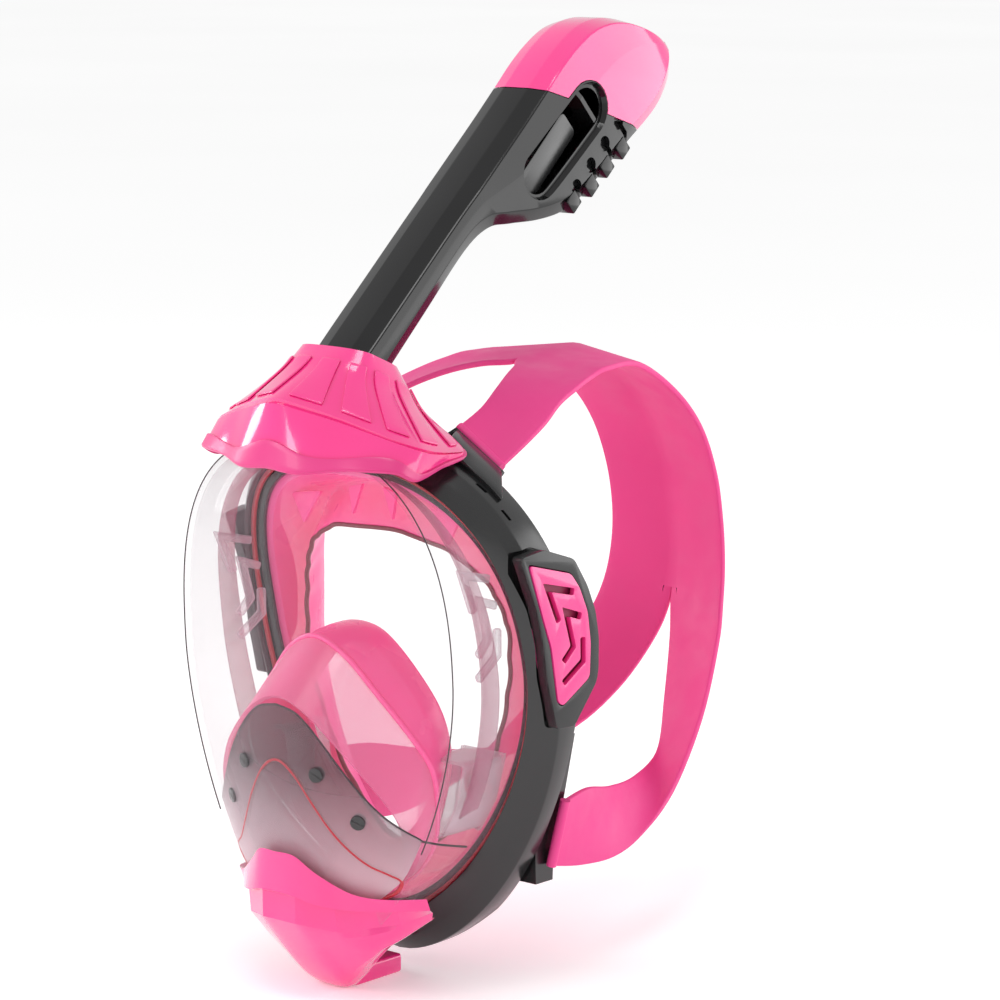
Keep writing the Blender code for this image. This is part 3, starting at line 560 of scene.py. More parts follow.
def even_angles():
    """Angles round the outline, spaced so that the points lie evenly along it."""
    marks = [seam_point(2 * math.pi * i / ANGLE_MARKS) for i in range(ANGLE_MARKS + 1)]
    run = [0.0]
    for a, b in zip(marks, marks[1:]):
        run.append(run[-1] + (b - a).length)
    result = []
    i = 0
    for step in range(AROUND):
        want = run[-1] * step / AROUND
        while run[i + 1] < want:
            i += 1
        share = (want - run[i]) / (run[i + 1] - run[i])
        result.append(2 * math.pi * (i + share) / ANGLE_MARKS)
    return result


ANGLES = even_angles()


def seam_loop(out, back):
    return [seam_point(a, out, back) for a in ANGLES]


def edge_point(angle):
    width = SEAM_HALF_WIDTH * EDGE_WIDTH_RATIO
    x, z = outline(angle, width, SEAM_TOP * EDGE_HEIGHT_RATIO, SEAM_BOTTOM * EDGE_HEIGHT_RATIO)
    return Vector((x, edge_y(z), z))


def visor_radius(x, z):
    """0 at the middle of the front face, 1 on its edge; and how upright the direction is."""
    power = TOP_POWER if z > 0 else BOTTOM_POWER
    height = (SEAM_TOP if z > 0 else SEAM_BOTTOM) * EDGE_HEIGHT_RATIO
    wide = abs(x) / (SEAM_HALF_WIDTH * EDGE_WIDTH_RATIO)
    tall = abs(z) / height
    radius = (wide**power + tall**power) ** (1 / power)
    return radius, tall**2 / (wide**2 + tall**2 + 1e-9)


def visor_y(x, z):
    radius, upright = visor_radius(x, z)
    flatness = FLATNESS + (FLATNESS_TOP if z > 0 else FLATNESS_BOTTOM) * upright**2
    rim = edge_y(z)
    return rim + (VISOR_FRONT - rim) * max(0.0, 1 - radius**flatness)


# --- visor and what lies in it

# Rings on the visor's front, as shares of the way from its middle to its edge, and on its side wall.
FRONT_SHARES = (0.04, 0.12, 0.22, 0.34, 0.46, 0.58, 0.7, 0.8, 0.88, 0.94, 0.975, 0.993)
SIDE_SHARES = (0.03, 0.2, 0.4, 0.6, 0.8)
SEAT_INSET = -0.4
SEAT_DEPTH = 1.8
CREASE_RADIUS = 0.28
# Where the lines run on the right side, in degrees from the top.
CREASE_SPAN = (14, 128)
BAND_SPAN = (22, 126)
# The band's rows: distance inward, and share of the way from the visor's edge to its seat.
BAND_ROWS = ((2.6, 0.46), (3.0, 0.50), (3.6, 0.66), (3.2, 0.70))


def make_visor():
    rim = [edge_point(a) for a in ANGLES]
    loops = []
    for share in FRONT_SHARES:
        loops.append([Vector((p.x * share, visor_y(p.x * share, p.z * share), p.z * share)) for p in rim])
    seat = seam_loop(SEAT_INSET, 0.0)
    loops += [rim] + [between(rim, seat, t) for t in SIDE_SHARES]
    loops += [seat, seam_loop(SEAT_INSET, SEAT_DEPTH)]
    points, faces = skin(loops)
    middle = len(points)
    points.append(Vector((0, VISOR_FRONT, 0)))
    faces += [(i, (i + 1) % AROUND, middle) for i in range(AROUND)]
    visor = add_mesh("visor", points, faces)
    wall(visor, VISOR_WALL)
    dress(settle(visor), "clear_plastic", nodes=("lens",))


def rim_run(side, span, shift, back):
    """Points along one side of the visor's edge, moved inward and backward."""
    first, last = span if side > 0 else (360 - span[1], 360 - span[0])
    points = []
    for a in ANGLES:
        if first <= math.degrees(a) <= last:
            p = edge_point(a)
            seat = seam_point(a, SEAT_INSET, 0.0)
            points.append(p.lerp(seat, back) + Vector((-p.x, 0, -p.z)).normalized() * shift)
    return points


def make_visor_lines():
    """A dark wire along the crease between the visor's front and side, painted shade for the dark line that
    the clear crease shows, and the band moulded inside its side wall.
    """
    for side, word in SIDES:
        crease = rim_run(side, CREASE_SPAN, -0.1, 0.0)
        wire(f"{word}_visor_crease_shade", crease, CREASE_RADIUS, "dark_edge_shade")
        rows = [rim_run(side, BAND_SPAN, shift, back) for shift, back in BAND_ROWS]
        band = surface(f"{word}_visor_band", rows)
        wall(band, 0.9, 0.0)
        dress(settle(band), "clear_wall")


# The upper edge of the mouth shield, from its middle to its right end, as (x, z).
SHIELD_TOP = [
    (0, -13.6), (9, -15.4), (15.3, -19.8), (20.5, -25.2), (24.9, -30.7), (30.4, -38.2),
    (36.6, -47), (42.7, -54.5), (48.2, -59.6), (53, -63.4), (54.5, -66),
]
SHIELD_ROWS = 26
SHIELD_DEPTH = 3.2
SHIELD_REACH = 0.965
SHIELD_TAIL = [(57, -33, -66), (59, -20, -69)]


def shield_column(x, z):
    """Points from the shield's upper edge down to the chin, along a line towards the chin's middle."""
    foot_x, foot_z = x * 0.62, -104.0 + abs(x) * 0.25
    column = []
    for row in range(SHIELD_ROWS + 1):
        t = row / SHIELD_ROWS
        px, pz = x + (foot_x - x) * t**1.4, z + (foot_z - z) * t
        radius, _ = visor_radius(px, pz)
        if radius > SHIELD_REACH:
            px, pz = px * SHIELD_REACH / radius, pz * SHIELD_REACH / radius
        column.append(Vector((px, visor_y(px, pz) + SHIELD_DEPTH, pz)))
    return column


def make_shield():
    half = through([Vector((x, z)) for x, z in SHIELD_TOP], 4)
    full = [Vector((-p.x, p.y)) for p in reversed(half[1:])] + half
    rows = [shield_column(p.x, p.y) for p in full]
    shield = surface("mouth_shield", rows)
    wall(shield, 1.2, 0.0)
    dress(settle(shield), "smoked")
    brim = [row[0] for row in rows]
    tail = [Vector(p) for p in SHIELD_TAIL]
    brim = [mirrored(p) for p in reversed(tail)] + brim[2:-2] + tail
    # A dark wire on the shield's upper edge: the step is real, its dark colour is painted shade.
    wire("mouth_shield_edge_shade", through(brim, 2), 0.45, "dark_edge_shade")


# The red seal's loop behind the visor, from its top centre to its bottom centre, as (x, z).
SEAL_LINE = [
    (0, -35.5), (8, -40), (15.5, -50.5), (22, -61), (28, -69), (34, -75),
    (40, -78.5), (43.5, -81.5), (40, -87), (29, -92), (14, -96), (0, -97),
]
SEAL_DEPTH = 3.3
SEAL_RADIUS = 0.85
STUD_PLACES = [(19.6, -39.3), (-19.6, -39.3), (34.5, -57.5), (-34.5, -57.5)]
STUD_RADIUS = 3.0
STUD_LENGTH = 3.0
STUD_DEPTH = 3.0


def visor_outward(x, z):
    """The direction straight out of the visor's front."""
    slope_x = visor_y(x + 1, z) - visor_y(x - 1, z)
    slope_z = visor_y(x, z + 1) - visor_y(x, z - 1)
    return Vector((slope_x, -2.0, slope_z)).normalized()


def make_seal_and_studs():
    loop = smooth_loop([(x, visor_y(x, z) + SEAL_DEPTH, z) for x, z in SEAL_LINE], 120)
    wire("mouth_seal_bead", loop, SEAL_RADIUS, "red_silicone", True, ("mouth_seal",))
    for number, (x, z) in enumerate(STUD_PLACES):
        outward = visor_outward(x, z)
        centre = Vector((x, visor_y(x, z), z)) - outward * STUD_DEPTH
        stud = cylinder(f"stud_{number + 1}", centre, outward, STUD_RADIUS, STUD_LENGTH, 28)
        across = outward.cross(Vector((0.5, 0, 1)))
        slot = cylinder("slot_cutter", centre + outward * 1.6, across, 0.35, 6.0, 8)
        cut(stud, slot)
        soften(stud, 0.4)
        settle(stud, remove=[slot])
        dress(stud, "black_satin", nodes=(f"carrier_stud_{number + 1}",))


# --- frame, gasket and clamp

LEDGE = 6.0
POCKET = 4.1
FLANK = 8.2
CHIN_EXTRA = 7.5
# Where the frame's flank ends, as (z, y) from the bottom up to the widest point, and above that.
FRAME_REAR = [(-112, 10), (-106, 17), (-96, 23.5), (0, 24)]
REAR_DROP = 20.0
REAR_DROP_HEIGHT = 62.0
# Small notches in each upper flank, in degrees from the top.
FRAME_NOTCHES = (40.0, 50.5)
FRAME_NOTCH = [(-2.6, -0.8), (2.6, -0.8), (2.6, 0.8), (-2.6, 0.8)]
# Sections of the gasket and the clamp ring, as (outward, back) from the seam.
GASKET_SECTION = [(-0.5, 2.2), (-0.5, 3.8), (-2.6, 3.8), (-2.6, 2.2)]
CLAMP_SECTION = [(-6.2, 9.6), (3.7, 9.6), (3.7, 11.6), (-6.2, 11.6)]


def frame_rear(z):
    if z > 0:
        return FRAME_REAR[-1][1] - REAR_DROP * (z / REAR_DROP_HEIGHT) ** 1.3
    for (z0, y0), (z1, y1) in zip(FRAME_REAR, FRAME_REAR[1:]):
        if z <= z1:
            break
    return y0 + (y1 - y0) * (z - z0) / (z1 - z0)


def frame_section(angle):
    low = max(0.0, -math.cos(angle)) ** 2
    flank = FLANK + CHIN_EXTRA * low
    z = seam_point(angle).z
    rear = frame_rear(z) - seam_y(z)
    corners = [
        (0.0, -0.8), (5.4 + 0.5 * CHIN_EXTRA * low, 4.4), (flank, 9.6), (flank, rear),
        (POCKET, rear), (POCKET, 9.2), (-0.2, 9.2), (-0.2, 6.6),
        (-LEDGE, 6.6), (-LEDGE, 4.2), (0.0, 4.2),
    ]
    return rounded(corners, 0.55)


def frame_notch_cutter(name, angle):
    centre = seam_point(angle, 8.2, 13.5)
    out = (seam_point(angle, 1.0) - seam_point(angle)).normalized()
    along = (seam_point(angle + 0.02) - seam_point(angle - 0.02)).normalized()
    loops = []
    for depth in (-1.2, 2.0):
        loops.append([centre + out * depth + along * u + Vector((0, w, 0)) for u, w in FRAME_NOTCH])
    return loft(name, loops)


def make_frame():
    loops = [[seam_point(a, out, back) for out, back in frame_section(a)] for a in ANGLES]
    black = loft("mask_frame", loops, closed=True)
    cutters = []
    for side, word in SIDES:
        cutters.append(pod_prism(f"{word}_pod_cutter", side, 0.3, -9.0, 6.0))
        for number, degrees in enumerate(FRAME_NOTCHES):
            a = math.radians(degrees if side > 0 else 360 - degrees)
            cutters.append(frame_notch_cutter(f"{word}_notch_cutter_{number}", a))
    cut(black, *cutters)
    dress(settle(black, 28, cutters), "black_satin", nodes=("front_frame",))


def make_rings():
    """The gasket under the visor's edge and the clamp ring behind the frame."""
    for name, section, look, slot, node in (
        ("visor_gasket", GASKET_SECTION, "red_silicone", "red_silicone", "lens_gasket"),
        ("clamp_ring", CLAMP_SECTION, "black_satin", "black_plastic", "retaining_ring"),
    ):
        shape = rounded(section, 0.5)
        ring = loft(name, [[seam_point(a, out, back) for out, back in shape] for a in ANGLES], closed=True)
        dress(settle(ring), look, nodes=(node,))


UPPER_BAR = (Vector((27, 9.6, 87.5)), Vector((50, 9.6, 73.6)))


def make_shoulders():
    """Plates from the frame's upper rear edge to the bars that hold the strap."""
    for side, word in SIDES:
        rows = []
        for column in range(9):
            share = column / 8
            bar = UPPER_BAR[0].lerp(UPPER_BAR[1], share)
            a = math.radians(24.0 + 22.0 * share)
            height = seam_point(a).z
            start = seam_point(a, FLANK + 0.5, frame_rear(height) - seam_y(height) - 9.0)
            row = [start.lerp(bar, k / 6) + Vector((0, 0, 1.6 * math.sin(math.pi * k / 6))) for k in range(7)]
            rows.append([Vector((side * p.x, p.y, p.z)) for p in row])
        plate = surface(f"{word}_shoulder", rows)
        wall(plate, 3.2, 0.0)
        soften(plate, 0.8, 3, 50.0)
        dress(settle(plate), "black_satin")


# --- vent housings and panels

# Outlines on the mask's side, as (y, z).
POD_OUTLINE = [
    (-12.0, 46.0), (0.5, 48.0), (17.0, 42.5), (24.5, 31.0), (29.0, 20.5),
    (31.0, 10.0), (31.0, -3.0), (30.0, -8.0), (25.5, -14.0), (18.0, -24.0),
    (8.5, -24.0), (6.5, -16.0), (3.0, -3.5), (1.0, 9.5), (-3.0, 24.5),
]
PANEL_OUTLINE = [
    (-7.6, 42.8), (14.8, 37.0), (19.5, 31.1), (24.1, 21.0), (26.0, 8.4), (25.6, -5.5),
    (11.0, -14.9), (8.4, -12.9), (6.9, -3.9), (4.6, 9.1), (0.1, 21.1),
]
PANEL_SLOTS = [
    [(16.5, 29.6), (2.0, 33.0), (8.4, 18.8)],
    [(20.6, 19.4), (12.2, 22.2), (16.4, 8.0), (11.0, 2.6)],
    [(21.6, 11.0), (21.8, 1.6), (11.0, -5.8)],
]
SLOT_WIDTH = 2.8


def pod_face(y):
    return 80.2 + 0.1 * y


def pod_place(side):
    return lambda y, z, depth: Vector((side * (pod_face(y) + depth), y, z))


def grown(corners, distance):
    """An outline moved outward by a distance, corner by corner."""
    points = [Vector(c) for c in corners]
    count = len(points)
    area = sum(points[i - 1].x * points[i].y - points[i].x * points[i - 1].y for i in range(count))
    turn = 1 if area > 0 else -1
    result = []
    for i, here in enumerate(points):
        a = (here - points[i - 1]).normalized()
        b = (points[(i + 1) % count] - here).normalized()
        normal_a = Vector((a.y, -a.x)) * turn
        mitre = (normal_a + Vector((b.y, -b.x)) * turn).normalized()
        result.append(here + mitre * distance / max(0.4, mitre.dot(normal_a)))
    return result


def stroke(line, width):
    """The outline of a path of constant width."""
    knots = [Vector(p) for p in line]
    left = []
    right = []
    for i, knot in enumerate(knots):
        near = knots[max(0, i - 1):i + 2]
        ways = [(b - a).normalized() for a, b in zip(near, near[1:])]
        normals = [Vector((-w.y, w.x)) for w in ways]
        mitre = sum(normals, Vector((0, 0))).normalized()
        reach = width / 2 / max(0.45, mitre.dot(normals[0]))
        left.append(knot + mitre * reach)
        right.append(knot - mitre * reach)
    return left + right[::-1]


def pod_prism(name, side, growth, low, high, shape=None, radius=2.0):
    return prism(name, rounded(grown(shape or POD_OUTLINE, growth), radius, 3), low, high, pod_place(side))


def make_pods():
    for side, word in SIDES:
        pod = pod_prism(f"{word}_pod", side, 0.0, -4.8, 0.0)
        room = pod_prism("panel_room", side, 0.35, -3.5, 3.0, PANEL_OUTLINE)
        cut(pod, room)
        soften(pod, 0.7, 3)
        dress(settle(pod, 28, [room]), "black_satin", nodes=(f"{word}_vent_housing",))
        panel = pod_prism(f"{word}_panel", side, 0.0, -1.8, 0.4, PANEL_OUTLINE)
        slots = []
        for number, line in enumerate(PANEL_SLOTS):
            shape = rounded(stroke(line, SLOT_WIDTH), 0.7)
            slots.append(prism(f"panel_slot_{number}", shape, -5.0, 5.0, pod_place(side)))
        cut(panel, *slots)
        soften(panel, 0.45, 3, 50.0)
        dress(settle(panel, 28, slots), "pink_gloss", nodes=(f"{word}_vent_panel",))
        # The backing behind the slots is a darker pink: painted shade in the recess.
        floor = pod_prism(f"{word}_panel_backing", side, -0.3, -3.4, -2.9, PANEL_OUTLINE)
        dress(settle(floor), "pink_recess_shade")


RIB_WIDTH = 3.4
RIB_HEIGHT = 2.4
RIB_FACE = 61.5


def rib_place(side):
    return lambda y, z, depth: Vector((side * (RIB_FACE + depth - 0.06 * y), y, z))


def make_air_ribs():
    """Clear ribs of the air channels, moulded inside the visor's side walls in front of the vents."""
    for side, word in SIDES:
        for number, line in enumerate(PANEL_SLOTS):
            path = [(y * 1.15 - 32.0, z * 1.1 + 4.0) for y, z in line]
            shape = rounded(stroke(path, RIB_WIDTH), 0.8)
            rib = prism(f"{word}_air_rib_{number + 1}", shape, 0.0, RIB_HEIGHT, rib_place(side))
            soften(rib, 0.5, 2)
            dress(settle(rib), "clear_edge_highlight")


# --- crown cover

# Three loops round the cover, each from its front centre to its rear centre.
CROWN_FRONT_EDGE = [
    (0, -69, 80), (15, -68, 79), (30, -61.5, 81), (42, -57.5, 81.5), (51, -52, 81), (52.5, -44, 77.5),
    (51, -36, 77.5), (50.5, -26, 80), (50, -12, 82.5), (42, -6, 84.5), (26, -2, 87.5), (0, 0, 90),
]
CROWN_RIDGE = [
    (0, -65, 106), (13, -61.5, 103.5), (26, -56, 99.5), (38, -51.5, 95.5), (47.5, -47, 92), (52.5, -40, 89),
    (53, -31, 86.5), (51.5, -20, 85), (50, -12, 84.6), (42, -6.5, 87), (26, -2.5, 92.5), (0, 0.5, 97),
]
CROWN_NECK = [
    (0, -47, 114.5), (9, -46, 114), (17, -43, 112.5), (22.5, -39, 110.5), (26.5, -34, 108), (29, -28, 105),
    (30, -20, 100.8), (29.5, -13, 97), (26.5, -8.5, 96), (21, -5.5, 97.5), (12, -2.5, 100.5),
    (0, -0.5, 102.5),
]
CROWN_RIM_MIDDLE = Vector((0, -19, 117))
CROWN_RIM_BACK = Vector((0, 0.925, -0.38))
# The hole for the snorkel, as (x, distance along CROWN_RIM_BACK).
CROWN_RIM = [
    (0, -17), (7, -16.8), (13, -15.6), (17.4, -12.5), (17.8, -7), (17.6, 0),
    (17.2, 4), (15.5, 8), (12.5, 11), (9, 12.6), (5, 13), (0, 13),
]
CROWN_AROUND = 176
CROWN_HEART = Vector((0, -32, 92))
# Raised panels round the neck: their middles as shares of the way round, on both sides.
NECK_PANELS = (0.04, 0.115, 0.19, 0.265, 0.35)
NECK_PANEL_HALF = 0.024


def shrunk(loop, depth):
    """A loop moved towards the middle of the cover."""
    return [p + (CROWN_HEART - p).normalized() * depth for p in loop]


def crown_loops():
    rim_half = [Vector((x, 0, 0)) + CROWN_RIM_MIDDLE + CROWN_RIM_BACK * back for x, back in CROWN_RIM]
    return [smooth_loop(row, CROWN_AROUND) for row in (CROWN_FRONT_EDGE, CROWN_RIDGE, CROWN_NECK, rim_half)]


def make_crown():
    low, ridge, neck, rim = crown_loops()
    band = [low, between(low, ridge, 0.09), between(low, ridge, 0.18)]
    groove = shrunk(between(low, ridge, 0.95), 1.0)
    front = band + [between(low, ridge, t) for t in (0.4, 0.65, 0.88, 0.925)] + [groove]
    slope = neck_rows(ridge, neck, rim)
    rows = front + [between(slope[0], slope[1], 0.2)] + slope[1:]
    crown = surface("crown_shell", rows, around=True)
    wall(crown, 2.2)
    dress(settle(crown, 26), "pink_gloss", nodes=("crown_cover",))
    wire("crown_lower_bead", shrunk(low, 0.3), 0.9, "pink_band", True)
    make_crown_band(low, ridge)
    make_neck_panels(slope)


def neck_rows(ridge, neck, rim):
    """One hollow slope from the ridge up to the rim."""
    middle = [between(ridge, neck, 0.55), between(neck, rim, 0.12), between(neck, rim, 0.6)]
    return through_rows([ridge, *middle, rim], 5)


BAND_HEIGHT = 0.30
BAND_WAVE = 0.09
BAND_WAVES = 6


def make_crown_band(low, ridge):
    """The matt band along the cover's lower edge, with a wavy top."""
    rows = []
    for row in range(5):
        here = []
        for i, (a, b) in enumerate(zip(low, ridge)):
            turn = 2 * math.pi * i / len(low)
            top = BAND_HEIGHT + BAND_WAVE * math.cos(turn * BAND_WAVES)
            here.append(a.lerp(b, top * row / 4))
        rows.append(shrunk(here, -0.05))
    band = surface("crown_band", rows, around=True)
    wall(band, 0.9, 1.0)
    soften(band, 0.3, 2, 50.0)
    dress(settle(band), "pink_band")


def loop_at(loop, share):
    """The point at a share of the way round a loop."""
    place = (share % 1.0) * len(loop)
    i = int(place)
    return loop[i % len(loop)].lerp(loop[(i + 1) % len(loop)], place - i)


def neck_panel_rows(slope, middle, side):
    """A patch of the neck's slope: eleven rows of nine points."""
    last = len(slope) - 1
    rows = []
    for row in range(11):
        height = (0.10 + 0.62 * row / 10) * last
        k = min(last - 1, int(height))
        here = []
        for column in range(9):
            share = side * (middle + NECK_PANEL_HALF * (column - 4) / 4)
            here.append(loop_at(slope[k], share).lerp(loop_at(slope[k + 1], share), height - k))
        rows.append(shrunk(here, -0.1))
    return rows


def make_neck_panels(slope):
    for number, middle in enumerate(NECK_PANELS):
        for side, word in SIDES:
            panel = surface(f"{word}_neck_panel_{number + 1}", neck_panel_rows(slope, middle, side))
            face = panel.data.polygons[len(panel.data.polygons) // 2]
            outward = face.center / MM - CROWN_HEART
            wall(panel, 0.8, 1.0 if face.normal.dot(outward) > 0 else -1.0)
            soften(panel, 0.6, 3, 50.0)
            dress(settle(panel), "pink_gloss")


# --- chin cover

CHIN_STAND_OFF = 2.8
CHIN_STEPS = 6
CHIN_WALL = 2.4
CHIN_FADE = 8
CHIN_HEART = Vector((0, -25, -106))
CHIN_TOP_SHARES = (0.0, 0.05, 0.3, 0.6, 0.93)
CHIN_TAB = [(-9.0, -133.3), (9.0, -133.3), (9.0, -125.5), (-9.0, -125.5)]
CHIN_TAB_REACH = (-28.5, -1.5)
# How far the band is set back below the chin's upper part, at its top and at its foot.
BAND_TOP_INSET = 1.8
BAND_FOOT_INSET = 1.0
BAND_CORNERS = (1, 3, 6, 7)
# Rows from the middle to the tip, top row first; no y means that the point stands just off the visor.
CHIN_ROWS = [
    [(0, None, -72), (9, None, -72.5), (16, None, -78), (23, None, -83), (29, None, -86.5), (35, None, -88),
     (41, -42.5, -89.0), (46.5, -29.0, -90.5)],
    [(0, -66, -88), (9, -65.5, -88.5), (17, -62.5, -91), (24, -58, -92.5), (30, -52.5, -93.5),
     (35.5, -46.5, -94), (41, -39.0, -94.5), (46.6, -27.0, -95.5)],
    [(0, -65, -100), (9, -64.5, -100), (17, -61, -101), (24, -56, -102.5), (29.5, -50, -103),
     (34.5, -43.5, -102.5), (39, -35.5, -101), (43.5, -22, -98)],
    [(0, -39, -129.5), (9, -39, -128.5), (15, -38.5, -125), (20.5, -39.5, -120.5), (26, -40, -116.5),
     (31, -38, -112), (36, -31.5, -108), (41.5, -20, -101.5)],
    [(0, -30, -133.5), (8, -29.5, -133), (13, -28.5, -128.5), (17, -27.5, -123.5), (21.5, -26.5, -118),
     (27, -25, -112), (33, -22.5, -107), (40.5, -17.5, -101.5)],
]


def chin_full(half):
    """A whole row from its right half."""
    return [mirrored(p) for p in reversed(half[1:])] + half


def chin_band_row(half):
    """A row with straight facets between some of its knots."""
    last = len(half) - 1
    knots = chin_full(half)
    corners = sorted([last + k for k in BAND_CORNERS] + [last - k for k in BAND_CORNERS])
    row = []
    for a, b in zip(corners, corners[1:]):
        steps = (b - a) * CHIN_STEPS
        row += [knots[a].lerp(knots[b], k / steps) for k in range(steps)]
    return row + [knots[corners[-1]]]


def pulled_in(row, depth):
    """The row moved towards the chin's middle, less and less over the last points at each end."""
    last = len(row) - 1
    result = []
    for k, p in enumerate(row):
        share = min(1.0, k / CHIN_FADE, (last - k) / CHIN_FADE)
        result.append(p + (CHIN_HEART - p).normalized() * depth * share)
    return result


def shell(name, outer, inner):
    """A closed thin body between an outer sheet of rows and an inner sheet with as many rows."""
    count = len(outer[0])
    points, faces = skin(outer + inner[::-1], closed=True, around=False)
    last = 2 * len(outer) - 1
    for column in (0, count - 1):
        for row in range(len(outer) - 1):
            corners = (row, row + 1, last - row - 1, last - row)
            faces.append(tuple(k * count + column for k in corners))
    return add_mesh(name, points, faces)


def chin_rows():
    halves = []
    for row in CHIN_ROWS:
        halves.append([Vector((x, visor_y(x, z) - CHIN_STAND_OFF if y is None else y, z)) for x, y, z in row])
    smooth = [through(chin_full(half), CHIN_STEPS) for half in halves]
    band_top = pulled_in(chin_band_row(halves[1]), BAND_TOP_INSET)
    band_foot = pulled_in(chin_band_row(halves[2]), BAND_FOOT_INSET)
    bowl = through_rows([pulled_in(smooth[2], BAND_FOOT_INSET)] + smooth[3:], 5)
    upper = [between(smooth[0], smooth[1], t) for t in CHIN_TOP_SHARES] + [smooth[1]]
    return upper + [band_top, between(band_top, band_foot, 0.5), band_foot] + bowl[1:]


def make_chin():
    outer = chin_rows()
    inner = [[p + (CHIN_HEART - p).normalized() * CHIN_WALL for p in row] for row in outer]
    chin = shell("chin_shell", outer, inner)
    dress(settle(chin, 14), "pink_gloss", nodes=("chin_cover",))
    tab = prism("chin_tab", rounded(CHIN_TAB, 1.5, 3), *CHIN_TAB_REACH, facing)
    soften(tab, 0.9, 3)
    dress(settle(tab), "pink_gloss")


# --- soft parts


def skirt_rear(angle):
    x, z = outline(angle, 62.0, 66.0, 99.0)
    y = 27.0 - 23.0 * max(0.0, (z - 5) / 61) ** 2 - 4.0 * max(0.0, (5 - z) / 104) ** 2
    return Vector((x, y, z))


def skirt_lip(angle):
    x, z = outline(angle, 54.0, 48.5, 86.0)
    y = 11.0 - 18.0 * max(0.0, (z - 5) / 43.5) ** 2 + 4.0 * max(0.0, (5 - z) / 91)
    wave = 0.9 * math.sin(angle * 14)
    return Vector((x + math.copysign(wave, x) * min(1.0, abs(x) / 20), y, z + 0.4 * wave))


def make_skirt():
    rear = [skirt_rear(a) for a in ANGLES]
    lip = [skirt_lip(a) for a in ANGLES]
    inner = seam_loop(-7.8, 7.7)
    roll = [a.lerp(b, 0.35) + Vector((0, 2.5, 0)) for a, b in zip(rear, lip)]
    flange = [seam_loop(-0.9, 7.7), seam_loop(-6.8, 7.7)]
    tube = through_rows([seam_loop(-7.8, 8.3), between(inner, rear, 0.5), rear, roll, lip], 5)
    skirt = surface("skirt", flange + tube, around=True)
    wall(skirt, 1.8, 0.0)
    dress(settle(skirt), "skirt_silicone", nodes=("face_skirt",))
    wire("skirt_lip_bead", lip, 1.0, "brown_edge", True)


# Fins that hang inside the skirt's top: middle, half width and length.
SKIRT_FINS = ((9.0, 3.6, 13.0), (37.0, 8.0, 14.0))
FIN_HALF_THICKNESS = 0.8


def make_skirt_fins():
    for side, word in SIDES:
        for number, (x, half, drop) in enumerate(SKIRT_FINS):
            top = 66.0 - 0.0045 * x * x
            y = -9.0 + 0.05 * x
            corners = [(x - half, top), (x + half, top - 2.0), (x + 1.5, top - drop)]
            shape = rounded([(side * a, b) for a, b in corners], 0.8)
            reach = (y - FIN_HALF_THICKNESS, y + FIN_HALF_THICKNESS)
            fin = prism(f"{word}_skirt_fin_{number + 1}", shape, *reach, facing)
            dress(settle(fin), "skirt_silicone")


# The carrier between visor and cup, then the cup: half loops from top centre to bottom centre.
CARRIER_FRONT = [
    (0, -11), (15, -17), (30, -31), (40, -44), (46, -56),
    (46.5, -66), (41, -79), (29, -91), (14, -98), (0, -100),
]
CARRIER_REAR = [
    (0, -42, 9.5), (14, -40.5, 3.5), (27, -37, -10), (43, -33, -27), (49.5, -30, -38),
    (48.5, -26, -52), (40.5, -18, -70), (26, -12, -86), (12, -10, -94), (0, -10, -97),
]
CUP_REAR = [
    (0, -15, 11), (11, -14, 8), (24, -12, -4), (36, -10, -20), (38, -6, -37),
    (32.5, -2, -54), (24, 2, -70), (14, 4, -81), (7, 4.5, -85.5), (0, 4.5, -87),
]
CUP_AROUND = 144
CUP_HEART = Vector((0, -8, -38))


def make_cup():
    front = smooth_loop([(x, visor_y(x, z) + 4.6, z) for x, z in CARRIER_FRONT], CUP_AROUND)
    seam = smooth_loop(CARRIER_REAR, CUP_AROUND)
    rear = smooth_loop(CUP_REAR, CUP_AROUND)
    rows = [between(front, seam, t) for t in (0.0, 0.2, 0.4, 0.6, 0.8, 0.96)]
    carrier = surface("carrier", rows, around=True)
    wall(carrier, 1.6, 0.0)
    dress(settle(carrier), "carrier_plastic", nodes=("cup_carrier",))
    middle = [p + Vector((0, 0, 1.5 if p.z > -40 else 0)) for p in between(seam, rear, 0.55)]
    curl = [CUP_HEART + (p - CUP_HEART) * 0.86 - Vector((0, 3, 0)) for p in rear]
    cup = surface("nose_cup", through_rows([between(seam, rear, 0.05), middle, rear, curl], 6), around=True)
    wall(cup, 1.8, 0.0)
    dress(settle(cup), "cup_silicone", nodes=("oronasal_cup",))
    collar = [p + (p - CUP_HEART).normalized() * 0.8 for p in seam]
    wire("nose_cup_collar", collar, 1.1, "cup_silicone", True)


# --- valves

VALVE_PLATE = [(37, -36), (59, -36), (54, -55), (46, -69), (33, -65)]
VALVE_BOX_FRONT = -20.0
VALVE_BOX_BACK = 2.0
VALVE_BOX_WALL = 1.3
# The CAD pieces that are shown as they are, with their looks.
NODE_LOOKS = {
    "clear_edge_highlight": ("right_valve_plate", "left_valve_plate"),
    "pink_gloss": ("right_valve_seat", "left_valve_seat"),
    "red_silicone": (
        "right_valve_disc", "left_valve_disc", "purge_valve_disc", "snorkel_o_ring", "float_seal",
    ),
    "black_satin": (
        "purge_valve_seat", "socket_collar", "right_upper_strap_bar", "left_upper_strap_bar",
        "right_lower_strap_lug", "left_lower_strap_lug",
    ),
    "black_gloss": ("snorkel_divider", "float_seat"),
    "float_grey": ("float",),
    "steel": tuple(f"ring_screw_{n}" for n in range(1, 7)),
}


